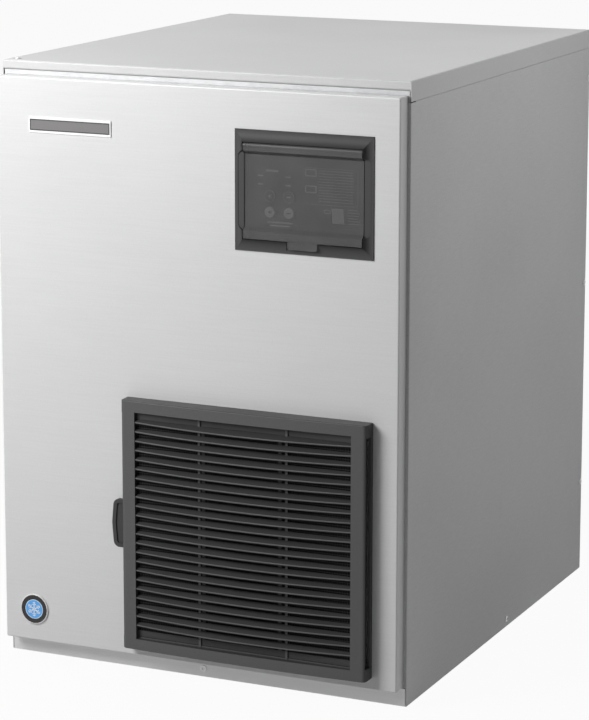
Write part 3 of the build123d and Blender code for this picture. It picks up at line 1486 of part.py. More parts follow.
valve_y = front + valve_place
liquid_line = tube(
    [
        (side_run_x, drier_start + drier_length, condenser_outlet_z), (side_run_x, valve_y, condenser_outlet_z),
        (evaporator_x, valve_y, condenser_outlet_z), (evaporator_x, valve_y, valve_z),
    ],
    line_radius, 14,
)

with BuildPart() as expansion_valve:
    with BuildSketch(Plane.XY.offset(valve_z)):
        with Locations((evaporator_x, valve_y)):
            RegularPolygon(13, 6)
    extrude(amount=valve_height)
    with BuildSketch(Plane.XY.offset(valve_z + 12)):
        with Locations((evaporator_x + 24, valve_y)):
            Circle(17)
    extrude(amount=10)
finish(expansion_valve, "expansion_valve")

coil_feed_line = tube(
    [
        (evaporator_x, valve_y, valve_z + valve_height), (evaporator_x, valve_y, coil_feed_z),
        (evaporator_x, axis_y + insulation_outer, coil_feed_z),
    ],
    line_radius, 14,
)
liquid_lines = Compound(label="liquid_lines", children=[outlet_line.part, liquid_line.part, coil_feed_line.part])
export_step(liquid_lines, "parts/liquid_lines.step")

suction_z = evaporator_top - suction_drop
suction_y = axis_y + insulation_outer + suction_reach
suction_line = tube(
    [
        (evaporator_x, axis_y + insulation_outer, suction_z),
        (evaporator_x, suction_y, suction_z),
        (compressor_x - discharge_x, suction_y, suction_z),
        (compressor_x - discharge_x, compressor_y + discharge_y, suction_z),
        (compressor_x - discharge_x, compressor_y + discharge_y, shell_top),
    ],
    line_radius + 2, 14,
)
finish(suction_line, "suction_line")

# Electrical box with its cover, the board inside and the cable gland at the rear
box_front = front + control_box_place
box_rear = box_front + control_box_depth
box_left = inner_half - control_box_width
box_top = cabinet_height - control_box_top_gap
box_bottom = box_top - control_box_height
with BuildPart() as control_box:
    block(box_left, inner_half, box_front, box_rear, box_bottom, box_top)
    offset(amount=-control_box_sheet, openings=control_box.faces().sort_by(Axis.Y)[0])
    with Locations((box_left + 30, box_rear - 30, box_bottom)):
        Cylinder(11, 10, mode=Mode.SUBTRACT)
finish(control_box, "control_box")

with BuildPart() as control_box_cover:
    block(box_left, inner_half - 1, box_front - control_box_sheet, box_front, box_bottom, box_top)
    block(
        box_left - control_box_sheet, box_left, box_front - control_box_sheet, box_front + 12,
        box_bottom, box_top,
    )
finish(control_box_cover, "control_box_cover")

board_left = box_left + board_margin
board_right = inner_half - board_margin
board_bottom = box_bottom + board_margin
board_top = box_top - board_margin
board_rear = box_rear - board_standoff
with BuildPart() as circuit_board:
    block(board_left, board_right, board_rear - board_sheet, board_rear, board_bottom, board_top)
    for post_x in (board_left + board_margin, board_right - board_margin):
        for post_z in (board_bottom + board_margin, board_top - board_margin):
            block(post_x - 4, post_x + 4, board_rear, box_rear - control_box_sheet, post_z - 4, post_z + 4)
    for spot, size in (((30, 34), (36, 30, 30)), ((86, 30), (44, 38, 34)), ((132, 36), (24, 26, 34)),
                       ((34, 96), (40, 18, 44)), ((100, 98), (60, 12, 30))):
        block(
            board_left + spot[0] - size[0] / 2, board_left + spot[0] + size[0] / 2,
            board_rear - board_sheet - size[1], board_rear - board_sheet,
            board_bottom + spot[1] - size[2] / 2, board_bottom + spot[1] + size[2] / 2,
        )
finish(circuit_board, "circuit_board")

with BuildPart() as cable_gland:
    disc(gland_x, gland_z, rear_face - panel_sheet - 8, rear + rear_reach - 2, gland_radius)
    for place_y, depth in ((rear_face - panel_sheet - 5, 5), (rear_face, 5), (rear + rear_reach - 6, 4)):
        with BuildSketch(Plane.XZ.offset(-place_y)):
            with Locations((gland_x, gland_z)):
                RegularPolygon(gland_radius + 4, 6)
        extrude(amount=-depth)
    disc(gland_x, gland_z, rear - 20, rear + rear_reach + 1, gland_bore, mode=Mode.SUBTRACT)
finish(cable_gland, "cable_gland")
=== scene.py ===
import math

import bmesh
import bpy
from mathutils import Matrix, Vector


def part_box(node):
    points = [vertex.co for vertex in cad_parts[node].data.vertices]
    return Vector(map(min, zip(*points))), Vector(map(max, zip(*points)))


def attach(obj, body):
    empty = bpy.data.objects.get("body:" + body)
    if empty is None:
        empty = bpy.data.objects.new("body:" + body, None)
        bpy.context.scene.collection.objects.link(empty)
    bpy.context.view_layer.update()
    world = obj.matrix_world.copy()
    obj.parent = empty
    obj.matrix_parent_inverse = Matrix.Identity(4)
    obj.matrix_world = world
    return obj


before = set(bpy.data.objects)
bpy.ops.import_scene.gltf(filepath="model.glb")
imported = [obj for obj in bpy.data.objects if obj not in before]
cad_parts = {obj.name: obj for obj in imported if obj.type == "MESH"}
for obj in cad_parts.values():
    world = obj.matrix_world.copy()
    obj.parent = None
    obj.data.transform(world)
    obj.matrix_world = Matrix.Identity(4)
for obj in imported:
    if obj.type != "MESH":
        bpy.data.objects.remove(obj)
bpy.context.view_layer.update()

# Stainless casing: folded sheet with a fine brushed finish, screwed together at its edges.
# The front panel and the rail below it are brushed sideways, the top and the sides from front
# to back. The rail is the rim of the base pan, pressed and polished a little brighter.


def shader_group(name, inputs, outputs):
    tree = bpy.data.node_groups.new(name, "ShaderNodeTree")
    for socket, kind, value in inputs:
        made = tree.interface.new_socket(
            name=socket, in_out="INPUT", socket_type="NodeSocket" + kind)
        made.default_value = value
    for socket, kind in outputs:
        tree.interface.new_socket(name=socket, in_out="OUTPUT", socket_type="NodeSocket" + kind)
    return tree, tree.nodes.new("NodeGroupInput"), tree.nodes.new("NodeGroupOutput")


def add_node(tree, kind, values=None, links=None, **settings):
    made = tree.nodes.new("ShaderNode" + kind)
    for setting, value in settings.items():
        setattr(made, setting, value)
    for socket, value in (values or {}).items():
        made.inputs[socket].default_value = value
    for socket, source in (links or {}).items():
        tree.links.new(source, made.inputs[socket])
    return made


def spread(tree, source, low, high, margin=0.3):
    """Maps the middle of a noise, from margin to 1 - margin, to the range low to high."""
    limits = {"From Min": margin, "From Max": 1.0 - margin, "To Min": low, "To Max": high}
    return add_node(tree, "MapRange", limits, {"Value": source}).outputs[0]


def brushed_group():
    tree, start, end = shader_group(
        "brushed_grain",
        [("Stretch", "Vector", (30, 900, 900)), ("Strength", "Float", 1.0)],
        [("Tone", "Float"), ("Roughness", "Float"), ("Height", "Float")],
    )
    place = add_node(tree, "TexCoord").outputs["Object"]
    fine = add_node(tree, "VectorMath", links={0: place, 1: start.outputs["Stretch"]},
                    operation="MULTIPLY")
    grain = add_node(tree, "TexNoise", {"Scale": 1.0, "Detail": 3.0, "Roughness": 0.65},
                     {"Vector": fine.outputs[0]})
    soft = add_node(tree, "TexNoise", {"Scale": 5.0, "Detail": 2.0}, {"Vector": place})
    speck = add_node(tree, "TexNoise", {"Scale": 420.0, "Detail": 2.0, "Roughness": 0.7},
                     {"Vector": place})
    streaks = spread(tree, grain.outputs["Fac"], -1.0, 1.0)
    specks = spread(tree, speck.outputs["Fac"], -0.5, 0.5, margin=0.35)
    tone = add_node(tree, "Math", links={0: streaks, 1: specks}, operation="ADD")
    toned = add_node(tree, "Math", links={0: tone.outputs[0], 1: start.outputs["Strength"]},
                     operation="MULTIPLY")
    rough_soft = spread(tree, soft.outputs["Fac"], -0.04, 0.05)
    rough_grain = add_node(tree, "Math", {1: 0.03}, {0: tone.outputs[0]}, operation="MULTIPLY")
    rough = add_node(tree, "Math", links={0: rough_soft, 1: rough_grain.outputs[0]},
                     operation="ADD")
    tree.links.new(toned.outputs[0], end.inputs["Tone"])
    tree.links.new(rough.outputs[0], end.inputs["Roughness"])
    tree.links.new(grain.outputs["Fac"], end.inputs["Height"])
    return tree


brushed = brushed_group()


def new_material(name):
    made = bpy.data.materials.new(name)
    made.use_nodes = True
    tree = made.node_tree
    tree.nodes.clear()
    shader = tree.nodes.new("ShaderNodeBsdfPrincipled")
    output = tree.nodes.new("ShaderNodeOutputMaterial")
    tree.links.new(shader.outputs[0], output.inputs[0])
    return made, tree, shader


def brushed_steel(name, color, strokes, roughness, metallic, contrast):
    """strokes: changes of the grain in a metre along X, Y and Z, fewest along the brushing."""
    made, tree, shader = new_material(name)
    grain = add_node(tree, "Group", {"Stretch": strokes, "Strength": contrast},
                     node_tree=brushed)
    bright = add_node(tree, "Math", {0: 1.0}, {1: grain.outputs["Tone"]}, operation="ADD")
    tint = add_node(tree, "VectorMath", {0: color}, {1: bright.outputs[0]}, operation="MULTIPLY")
    rough = add_node(tree, "Math", {0: roughness}, {1: grain.outputs["Roughness"]},
                     operation="ADD")
    bump = add_node(tree, "Bump", {"Strength": 0.12, "Distance": 0.00012},
                    {"Height": grain.outputs["Height"]})
    tree.links.new(tint.outputs[0], shader.inputs["Base Color"])
    tree.links.new(rough.outputs[0], shader.inputs["Roughness"])
    tree.links.new(bump.outputs[0], shader.inputs["Normal"])
    shader.inputs["Metallic"].default_value = metallic
    shader.inputs["Specular IOR Level"].default_value = 0.4
    return made


def dress(material, *nodes):
    for node in nodes:
        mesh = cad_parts[node].data
        mesh.materials.clear()
        mesh.materials.append(material)


front_color = (0.62, 0.62, 0.625)
casing_color = (0.56, 0.56, 0.565)
sideways = (14, 700, 700)
front_steel = brushed_steel("front_steel", front_color, sideways,
                            roughness=0.42, metallic=0.12, contrast=0.022)
rail_steel = brushed_steel("rail_steel", front_color, sideways,
                           roughness=0.42, metallic=0.38, contrast=0.022)
side_steel = brushed_steel("side_steel", casing_color, (700, 40, 700),
                           roughness=0.46, metallic=0.04, contrast=0.05)
top_steel = brushed_steel("top_steel", casing_color, (40, 500, 500),
                          roughness=0.45, metallic=0.06, contrast=0.035)
dress(front_steel, "front_panel")
dress(rail_steel, "base_pan")
dress(side_steel, "left_side_panel", "right_side_panel")
dress(top_steel, "top_panel")

# Zinc coated sheet of the rear panel and of what stands behind the casing: rail, brackets,
# fan shroud and control box. It is folded and screwed, and keeps the soft mottling of its hot
# dip coating.
zinc, tree, shader = new_material("zinc_sheet")
place = add_node(tree, "TexCoord").outputs["Object"]
cells = add_node(tree, "TexVoronoi", {"Scale": 90.0}, {"Vector": place})
blotch = add_node(tree, "TexNoise", {"Scale": 14.0, "Detail": 4.0}, {"Vector": place})
spangle = add_node(tree, "Mix", {0: 0.35},
                   {2: blotch.outputs["Fac"], 3: cells.outputs["Distance"]})
zinc_tones = add_node(tree, "ValToRGB", links={"Fac": spangle.outputs[0]})
zinc_tones.color_ramp.elements[0].color = (0.36, 0.365, 0.37, 1)
zinc_tones.color_ramp.elements[1].color = (0.56, 0.565, 0.57, 1)
tree.links.new(zinc_tones.outputs[0], shader.inputs["Base Color"])
rough = add_node(tree, "MapRange", {"To Min": 0.38, "To Max": 0.55},
                 {"Value": blotch.outputs["Fac"]})
tree.links.new(rough.outputs[0], shader.inputs["Roughness"])
shader.inputs["Metallic"].default_value = 0.45
dress(zinc, "rear_panel", "front_cross_rail", "tank_bracket", "fan_shroud", "fan_motor_bracket",
      "control_box", "control_box_cover")

# Air inlet grille: one moulding of dark grey plastic, set on the front panel over its opening.
# Like every moulding here it has a fine eroded grain and a slightly uneven gloss.


def moulded_group():
    tree, start, end = shader_group(
        "moulded_grain",
        [("Scale", "Float", 1500.0)],
        [("Tone", "Float"), ("Roughness", "Float"), ("Height", "Float")],
    )
    place = add_node(tree, "TexCoord").outputs["Object"]
    grain = add_node(tree, "TexNoise", {"Detail": 2.0, "Roughness": 0.6},
                     {"Vector": place, "Scale": start.outputs["Scale"]})
    cloud = add_node(tree, "TexNoise", {"Scale": 9.0, "Detail": 3.0}, {"Vector": place})
    tree.links.new(spread(tree, grain.outputs["Fac"], 0.88, 1.12), end.inputs["Tone"])
    tree.links.new(spread(tree, cloud.outputs["Fac"], -0.05, 0.05), end.inputs["Roughness"])
    tree.links.new(grain.outputs["Fac"], end.inputs["Height"])
    return tree


moulded = moulded_group()


def plastic(name, color, roughness, grain_scale=1500.0, relief=0.15, specular=0.5):
    made, tree, shader = new_material(name)
    shader.inputs["Specular IOR Level"].default_value = specular
    grain = add_node(tree, "Group", {"Scale": grain_scale}, node_tree=moulded)
    tint = add_node(tree, "VectorMath", {0: color}, {1: grain.outputs["Tone"]},
                    operation="MULTIPLY")
    rough = add_node(tree, "Math", {0: roughness}, {1: grain.outputs["Roughness"]},
                     operation="ADD")
    bump = add_node(tree, "Bump", {"Strength": relief, "Distance": 0.0001},
                    {"Height": grain.outputs["Height"]})
    tree.links.new(tint.outputs[0], shader.inputs["Base Color"])
    tree.links.new(rough.outputs[0], shader.inputs["Roughness"])
    tree.links.new(bump.outputs[0], shader.inputs["Normal"])
    return made


# Painted shade: a tone that darkens faces as they turn away from the front.
def painted_shade_group():
    tree, start, end = shader_group(
        "painted_slope_shade", [("Share", "Float", 0.5)], [("Tone", "Float")])
    place = add_node(tree, "TexCoord")
    facing = add_node(tree, "VectorMath", {1: (0, -1, 0)}, {0: place.outputs["Normal"]},
                      operation="DOT_PRODUCT")
    facing_shade = add_node(tree, "MapRange", {"From Min": 0.72, "From Max": 0.97, "To Max": 1.0},
                      {"Value": facing.outputs["Value"], "To Min": start.outputs["Share"]})
    tree.links.new(facing_shade.outputs[0], end.inputs["Tone"])
    return tree


painted_shade_tree = painted_shade_group()


def paint_slope_shade(material, share):
    """Painted shade: the base colour is darkened on faces that turn away from the front, by
    their normal; faces that look forward keep the full tone.
    """
    tree = material.node_tree
    shader = next(node for node in tree.nodes if node.type == "BSDF_PRINCIPLED")
    tinted = shader.inputs["Base Color"].links[0].from_socket
    shade = add_node(tree, "Group", {"Share": share}, node_tree=painted_shade_tree)
    toned = add_node(tree, "VectorMath", links={0: tinted, 1: shade.outputs["Tone"]},
                     operation="MULTIPLY")
    tree.links.new(toned.outputs[0], shader.inputs["Base Color"])


grille_plastic = plastic("grille_plastic", (0.085, 0.085, 0.086), 0.48, specular=0.3)
# Painted shade on the grille: faces turned away from the front get a darker colour.
paint_slope_shade(grille_plastic, 0.42)
dress(grille_plastic, "louver_frame")

# Filter cassette: a black moulded frame with a D-shaped pull, which slides into the grille
# from the left. It holds a black screen woven of plastic thread.
thread_pitch = 0.0034
wave_turn = 20  # radians that Blender's wave texture turns in a metre at a scale of 1
filter_plastic = plastic("filter_plastic", (0.045, 0.045, 0.046), 0.5, specular=0.25)
dress(filter_plastic, "filter_cassette")

mesh_screen, tree, shader = new_material("mesh_screen")
place = add_node(tree, "TexCoord").outputs["Object"]
thread_scale = 2 * math.pi / wave_turn / thread_pitch
upright_threads, level_threads = (
    add_node(tree, "TexWave", {"Scale": thread_scale}, {"Vector": place}, bands_direction=axis)
    for axis in ("X", "Z")
)
weave = add_node(tree, "Math", operation="MAXIMUM",
                 links={0: upright_threads.outputs["Fac"], 1: level_threads.outputs["Fac"]})
tint = add_node(tree, "MapRange",
                {"From Min": 0.7, "From Max": 0.95, "To Min": 0.0005, "To Max": 0.04},
                {"Value": weave.outputs[0]})
bump = add_node(tree, "Bump", {"Strength": 0.6, "Distance": 0.0004},
                {"Height": weave.outputs[0]})
tree.links.new(tint.outputs[0], shader.inputs["Base Color"])
tree.links.new(bump.outputs[0], shader.inputs["Normal"])
shader.inputs["Roughness"].default_value = 0.7
shader.inputs["Specular IOR Level"].default_value = 0.08
dress(mesh_screen, "filter_mesh")

# Display bezel: a dark grey moulded frame let into the front panel, whose coved edges fall
# back to the cover.
bezel_plastic = plastic("bezel_plastic", (0.064, 0.064, 0.065), 0.5, specular=0.16)
# Painted shade on the bezel: its coves get a darker colour as they turn away from the front.
paint_slope_shade(bezel_plastic, 0.5)
dress(bezel_plastic, "display_bezel")

# Small black mouldings: the housing of the power switch, the fan, the cap over the
# compressor's terminals, and the gland and drain that are screwed into the rear panel.
black_plastic = plastic("black_plastic", (0.02, 0.02, 0.021), 0.45)
dress(black_plastic, "power_switch_body", "fan", "terminal_cover", "cable_gland",
      "drain_fitting")

# White mouldings that touch water or ice: tank with lid and float, spout, chute with its
# paddle, and the auger's bearings. They are coarser in grain and nearly smooth to the hand.
white_plastic = plastic("white_plastic", (0.72, 0.72, 0.7), 0.4, grain_scale=700.0, relief=0.08)
dress(white_plastic, "ice_spout", "ice_chute", "control_paddle", "water_tank", "tank_lid",
      "tank_float", "auger_bearings")

# Display cover: a moulded flap of smoked clear plastic with a satin face, hinged at its top
# edge. The controls show faintly through it.
smoked, tree, shader = new_material("smoked_cover")
grain = add_node(tree, "Group", {"Scale": 30.0}, node_tree=moulded)
tint = add_node(tree, "VectorMath", {0: (0.125, 0.125, 0.127)}, {1: grain.outputs["Tone"]},
                operation="MULTIPLY")
rough = add_node(tree, "Math", {0: 0.34}, {1: grain.outputs["Roughness"]}, operation="ADD")
tree.links.new(tint.outputs[0], shader.inputs["Base Color"])
tree.links.new(rough.outputs[0], shader.inputs["Roughness"])
shader.inputs["Alpha"].default_value = 0.5
shader.inputs["Specular IOR Level"].default_value = 0.4
dress(smoked, "display_cover")

# Control plate, buttons and rocker: a plate under a dark printed film, with two dark and two
# pale moulded caps and a pale rocker that stand in its cut-outs.
print_film = plastic("print_film", (0.05, 0.05, 0.052), 0.35, grain_scale=1200.0, relief=0.05)
button_dark = plastic("button_dark", (0.05, 0.05, 0.052), 0.4)
button_light = plastic("button_light", (0.72, 0.72, 0.73), 0.4)
rocker_grey = plastic("rocker_grey", (0.7, 0.7, 0.71), 0.4)
dress(print_film, "control_plate")
dress(button_dark, "push_button_1", "push_button_2")
dress(button_light, "push_button_3", "push_button_4")
dress(rocker_grey, "power_rocker")

# Print on the control plate: pale screen printed lines, symbols and rows of small marks. The
# rows stand where wording would be and say nothing.
bold_ink = plastic("bold_ink", (0.62, 0.62, 0.62), 0.5, grain_scale=2500.0, relief=0.05)
faint_ink = plastic("faint_ink", (0.36, 0.36, 0.365), 0.5, grain_scale=2500.0, relief=0.05)
ink_thickness = 0.00008
ink_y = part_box("control_plate")[0][1] - ink_thickness


def mesh_object(name, build, material):
    mesh = bpy.data.meshes.new(name)
    shape = bmesh.new()
    build(shape)
    shape.to_mesh(mesh)
    shape.free()
    mesh.materials.append(material)
    made = bpy.data.objects.new(name, mesh)
    bpy.context.scene.collection.objects.link(made)
    return made


def bar(shape, x0, x1, z0, z1, y):
    corners = ((x0, y, z0), (x1, y, z0), (x1, y, z1), (x0, y, z1))
    shape.faces.new([shape.verts.new(corner) for corner in corners])


def rounded_outline(x0, x1, z0, z1, radius, steps=6):
    points = []
    for centre_x, centre_z, start in (
        (x1 - radius, z1 - radius, 0), (x0 + radius, z1 - radius, 90),
        (x0 + radius, z0 + radius, 180), (x1 - radius, z0 + radius, 270),
    ):
        for step in range(steps + 1):
            angle = math.radians(start + 90 * step / steps)
            points.append((centre_x + radius * math.cos(angle),
                           centre_z + radius * math.sin(angle)))
    return points


def line_box(shape, x0, x1, z0, z1, radius, width, y):
    """A printed line of the stated width round a box with rounded corners."""
    inner_radius = max(radius - width, 0.0001)
    outer = rounded_outline(x0, x1, z0, z1, radius)
    inner = rounded_outline(x0 + width, x1 - width, z0 + width, z1 - width, inner_radius)
    rings = [[shape.verts.new((x, y, z)) for x, z in ring] for ring in (outer, inner)]
    for here in range(len(outer)):
        there = (here + 1) % len(outer)
        shape.faces.new((rings[0][here], rings[0][there], rings[1][there], rings[1][here]))


def bold_print(shape):
    icon_left, icon_right, icon_half_height, icon_line = 0.1472, 0.1622, 0.0045, 0.0012
    for icon_z in (0.6636, 0.6434):
        line_box(shape, icon_left, icon_right, icon_z - icon_half_height,
                 icon_z + icon_half_height, icon_line, icon_line, ink_y)
    # A small box beside the rocker, a bar and four marks above the buttons, two rows below
    line_box(shape, 0.172, 0.1812, 0.615, 0.6196, 0.0022, 0.0007, ink_y)
    bar(shape, 0.0945, 0.1115, 0.6615, 0.6642, ink_y)
    mark_length, mark_height = 0.0075, 0.0018
    for mark_z in (0.6552, 0.6448):
        for mark_x in (0.0835, 0.1205):
            bar(shape, mark_x, mark_x + mark_length, mark_z, mark_z + mark_height, ink_y)
    middle_x, row_height = 0.1135, 0.0016
    for row_z, reach in ((0.5985, 0.017), (0.5945, 0.0135)):
        bar(shape, middle_x - reach, middle_x + reach, row_z, row_z + row_height, ink_y)


def faint_print(shape):
    frame_line, row_pitch, row_height, mark_gap = 0.0005, 0.0034, 0.0012, 0.0011
    line_box(shape, 0.1453, 0.217, 0.625, 0.67, 0.003, frame_line, ink_y)
    line_box(shape, 0.089, 0.138, 0.5975, 0.608, 0.0015, frame_line, ink_y)
    # Rows of marks of uneven length, beside the icons and beside the rocker
    rows_left, rows_right, last_start = 0.165, 0.2155, 0.2125
    for row in range(12):
        row_z = 0.6662 - row * row_pitch
        start = rows_left
        for mark in range(9):
            length = 0.0032 + 0.0017 * ((row * 5 + mark * 3) % 4) / 3
            bar(shape, start, min(start + length, rows_right), row_z, row_z + row_height, ink_y)
            start += length + mark_gap
            if start > last_start:
                break
    short_left = 0.204
    for row in range(6):
        row_z = 0.6205 - row * row_pitch
        length = 0.013 + 0.003 * ((row * 2) % 3) / 2
        bar(shape, short_left, short_left + length, row_z, row_z + row_height, ink_y)


for name, build, ink in (("control_symbols", bold_print, bold_ink),
                         ("control_rows", faint_print, faint_ink)):
    print_piece = mesh_object(name, build, ink)
    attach(print_piece, "casing")

# Painted shade in the joints beside and below the cover: black strips just behind the bezel's
# face stand in for the shade of the well behind, so each joint reads as a black line. Each strip
# follows the bezel's side.
painted_gap_shade = plastic("painted_gap_shade", (0.003, 0.003, 0.003), 0.9, specular=0.05)


def painted_shade_strips(shape):
    bezel_y = -0.3447
    # Depth behind the bezel's face and height, from the top of a side gap to its foot
    side_gap = ((0.0006, 0.693), (0.0006, 0.6883), (0.0066, 0.6838), (0.0066, 0.5938),
                (0.0006, 0.5893), (0.0006, 0.5788))
    for x0, x1 in ((0.07045, 0.07135), (0.22945, 0.23035)):
        pairs = [[shape.verts.new((x, bezel_y + depth, z)) for x in (x0, x1)]
                 for depth, z in side_gap]
        for upper, lower in zip(pairs, pairs[1:]):
            shape.faces.new((upper[0], lower[0], lower[1], upper[1]))
    for x0, x1 in ((0.0706, 0.1292), (0.1716, 0.2302)):
        bar(shape, x0, x1, 0.57865, 0.57955, bezel_y + 0.0006)
    bar(shape, 0.1293, 0.1303, 0.5685, 0.5796, bezel_y + 0.0014)


# Painted shade: these black strips stand in for the shade inside the joints.
shade_strip_piece = mesh_object("cover_gap_painted_shade", painted_shade_strips, painted_gap_shade)
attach(shade_strip_piece, "casing")

# Button trims: a pale ring round the front edge of each dark cap, which is a painted highlight
# of its rounded edge, and a small sign printed on every cap, an arrow on the left ones and a bar
# on the right ones. They move with their button.
highlight_inner, highlight_outer, highlight_depth, highlight_set_back = 0.0067, 0.00715, 0.0008, 0.0004
sign_thickness = 0.00006


# A pale ring hugging the cap's front edge: a painted highlight of that edge.
def highlight_ring(shape, centre_x, centre_z, front_y, steps=40):
    back_y = front_y + highlight_depth
    section = ((highlight_inner, front_y), (highlight_outer, front_y), (highlight_outer, back_y),
               (highlight_inner, back_y))
    turns = [2 * math.pi * step / steps for step in range(steps)]
    rings = [
        [shape.verts.new((centre_x + radius * math.cos(turn), y,
                          centre_z + radius * math.sin(turn))) for turn in turns]
        for radius, y in section
    ]
    for ring, next_ring in zip(rings, rings[1:] + rings[:1]):
        for step in range(steps):
            after = (step + 1) % steps
            shape.faces.new((ring[step], ring[after], next_ring[after], next_ring[step]))
    bmesh.ops.recalc_face_normals(shape, faces=shape.faces)


def arrow_sign(shape, centre_x, centre_z, y):
    half_height = 0.0022
    head = ((-0.0026, 0), (0.0012, -half_height), (0.0012, half_height))
    shape.faces.new([shape.verts.new((centre_x + x, y, centre_z + z)) for x, z in head])
    bar(shape, centre_x + 0.0019, centre_x + 0.0027, centre_z - half_height,
        centre_z + half_height, y)


def bar_sign(shape, centre_x, centre_z, y):
    bar(shape, centre_x - 0.003, centre_x + 0.003, centre_z - 0.0006, centre_z + 0.0008, y)


def front_of(node):
    """Middle in X and Z of a node's box, and its front in Y."""
    low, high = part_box(node)
    return (low[0] + high[0]) / 2, (low[2] + high[2]) / 2, low[1]


for number, draw_sign, sign_ink in ((1, arrow_sign, bold_ink), (2, bar_sign, bold_ink),
                                    (3, arrow_sign, button_dark), (4, bar_sign, button_dark)):
    cap = f"push_button_{number}"
    cap_x, cap_z, cap_y = front_of(cap)
    trims = [mesh_object(
        f"cap_sign_{number}",
        lambda shape: draw_sign(shape, cap_x, cap_z, cap_y - sign_thickness), sign_ink)]
    # The dark caps also get the pale ring in bold ink, a painted highlight of the cap's edge.
    if sign_ink is bold_ink:
        trims.append(mesh_object(
            f"cap_edge_highlight_{number}",
            lambda shape: highlight_ring(shape, cap_x, cap_z, cap_y + highlight_set_back), bold_ink))
    for trim in trims:
        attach(trim, cap)

# Name plate: a pressed metal plate fixed to the front panel, painted with a white rim, a dark
# line inside it and a grey field, which is left bare.
plate_rim_width, plate_rim_height, plate_line = 0.0016, 0.003, 0.0015


def frame_distance_group():
    tree, start, end = shader_group(
        "frame_distance",
        [("Centre", "Vector", (0, 0, 0)), ("Half width", "Float", 0.05),
         ("Half height", "Float", 0.01)],
        [("Distance", "Float")],
    )
    place = add_node(tree, "TexCoord").outputs["Object"]
    offset = add_node(tree, "VectorMath", links={0: place, 1: start.outputs["Centre"]},
                      operation="SUBTRACT")
    size = add_node(tree, "VectorMath", links={0: offset.outputs[0]}, operation="ABSOLUTE")
    parts = add_node(tree, "SeparateXYZ", links={0: size.outputs[0]})
    across = add_node(tree, "Math", operation="SUBTRACT",
                      links={0: parts.outputs["X"], 1: start.outputs["Half width"]})
    upward = add_node(tree, "Math", operation="SUBTRACT",
                      links={0: parts.outputs["Z"], 1: start.outputs["Half height"]})
    outside = add_node(tree, "Math", links={0: across.outputs[0], 1: upward.outputs[0]},
                       operation="MAXIMUM")
    tree.links.new(outside.outputs[0], end.inputs["Distance"])
    return tree


def band_group():
    tree, start, end = shader_group(
        "band_edge",
        [("Distance", "Float", 0.0), ("Edge", "Float", 0.0),
         ("Inside", "Color", (0, 0, 0, 1)), ("Outside", "Color", (1, 1, 1, 1))],
        [("Color", "Color")],
    )
    past = add_node(tree, "Math", operation="GREATER_THAN",
                    links={0: start.outputs["Distance"], 1: start.outputs["Edge"]})
    blend = add_node(tree, "Mix", data_type="RGBA",
                     links={0: past.outputs[0], 6: start.outputs["Inside"],
                            7: start.outputs["Outside"]})
    tree.links.new(blend.outputs[2], end.inputs["Color"])
    return tree


band_edge = band_group()


def banded(tree, distance, first, bands):
    """Paint that changes from one band to the next where the distance passes each edge."""
    color = None
    for edge, tone in bands:
        band = add_node(tree, "Group",
                        {"Edge": edge, "Inside": (*first, 1), "Outside": (*tone, 1)},
                        {"Distance": distance}, node_tree=band_edge)
        if color:
            tree.links.new(color, band.inputs["Inside"])
        color = band.outputs["Color"]
    return color


low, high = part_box("name_plate")
plate_x, plate_z, _ = front_of("name_plate")
plate_paint, tree, shader = new_material("plate_paint")
distance = add_node(
    tree, "Group",
    {"Centre": (plate_x, 0, plate_z),
     "Half width": (high[0] - low[0]) / 2 - plate_rim_width,
     "Half height": (high[2] - low[2]) / 2 - plate_rim_height},
    node_tree=frame_distance_group(),
)
grain = add_node(tree, "Group", node_tree=moulded)
field = banded(tree, distance.outputs[0], (0.17, 0.165, 0.165),
               ((-plate_line, (0.03, 0.03, 0.03)), (0.0, (0.9, 0.9, 0.9))))
tint = add_node(tree, "VectorMath", links={0: field, 1: grain.outputs["Tone"]},
                operation="MULTIPLY")
tree.links.new(tint.outputs[0], shader.inputs["Base Color"])
shader.inputs["Roughness"].default_value = 0.38
dress(plate_paint, "name_plate")

# Round badge: an enamelled metal disc stuck to the front panel, with a pale rim, a dark ring
# and a blue field edged in pale blue, on which a plain six-armed ice crystal stands.
field_radius, pale_radius, dark_radius = 0.0122, 0.0129, 0.0188
badge_x, badge_z, badge_y = front_of("round_badge")
badge_paint, tree, shader = new_material("badge_paint")
place = add_node(tree, "TexCoord").outputs["Object"]
offset = add_node(tree, "VectorMath", {1: (badge_x, 0, badge_z)}, {0: place},
                  operation="SUBTRACT")
flat = add_node(tree, "VectorMath", {1: (1, 0, 1)}, {0: offset.outputs[0]},
                operation="MULTIPLY")
radius = add_node(tree, "VectorMath", links={0: flat.outputs[0]}, operation="LENGTH")
enamel = banded(
    tree, radius.outputs["Value"], (0.1, 0.38, 0.83),
    ((field_radius, (0.72, 0.85, 0.95)), (pale_radius, (0.012, 0.01, 0.01)),
     (dark_radius, (0.75, 0.74, 0.74))),
)
speckle = add_node(tree, "TexNoise", {"Scale": 260.0, "Detail": 2.0}, {"Vector": place})
tree.links.new(enamel, shader.inputs["Base Color"])
tree.links.new(spread(tree, speckle.outputs["Fac"], 0.2, 0.34), shader.inputs["Roughness"])
dress(badge_paint, "round_badge")

crystal_white = plastic("crystal_white", (0.85, 0.9, 0.95), 0.35, grain_scale=2000.0,
                        relief=0.05)
crystal_y = badge_y - 0.00008


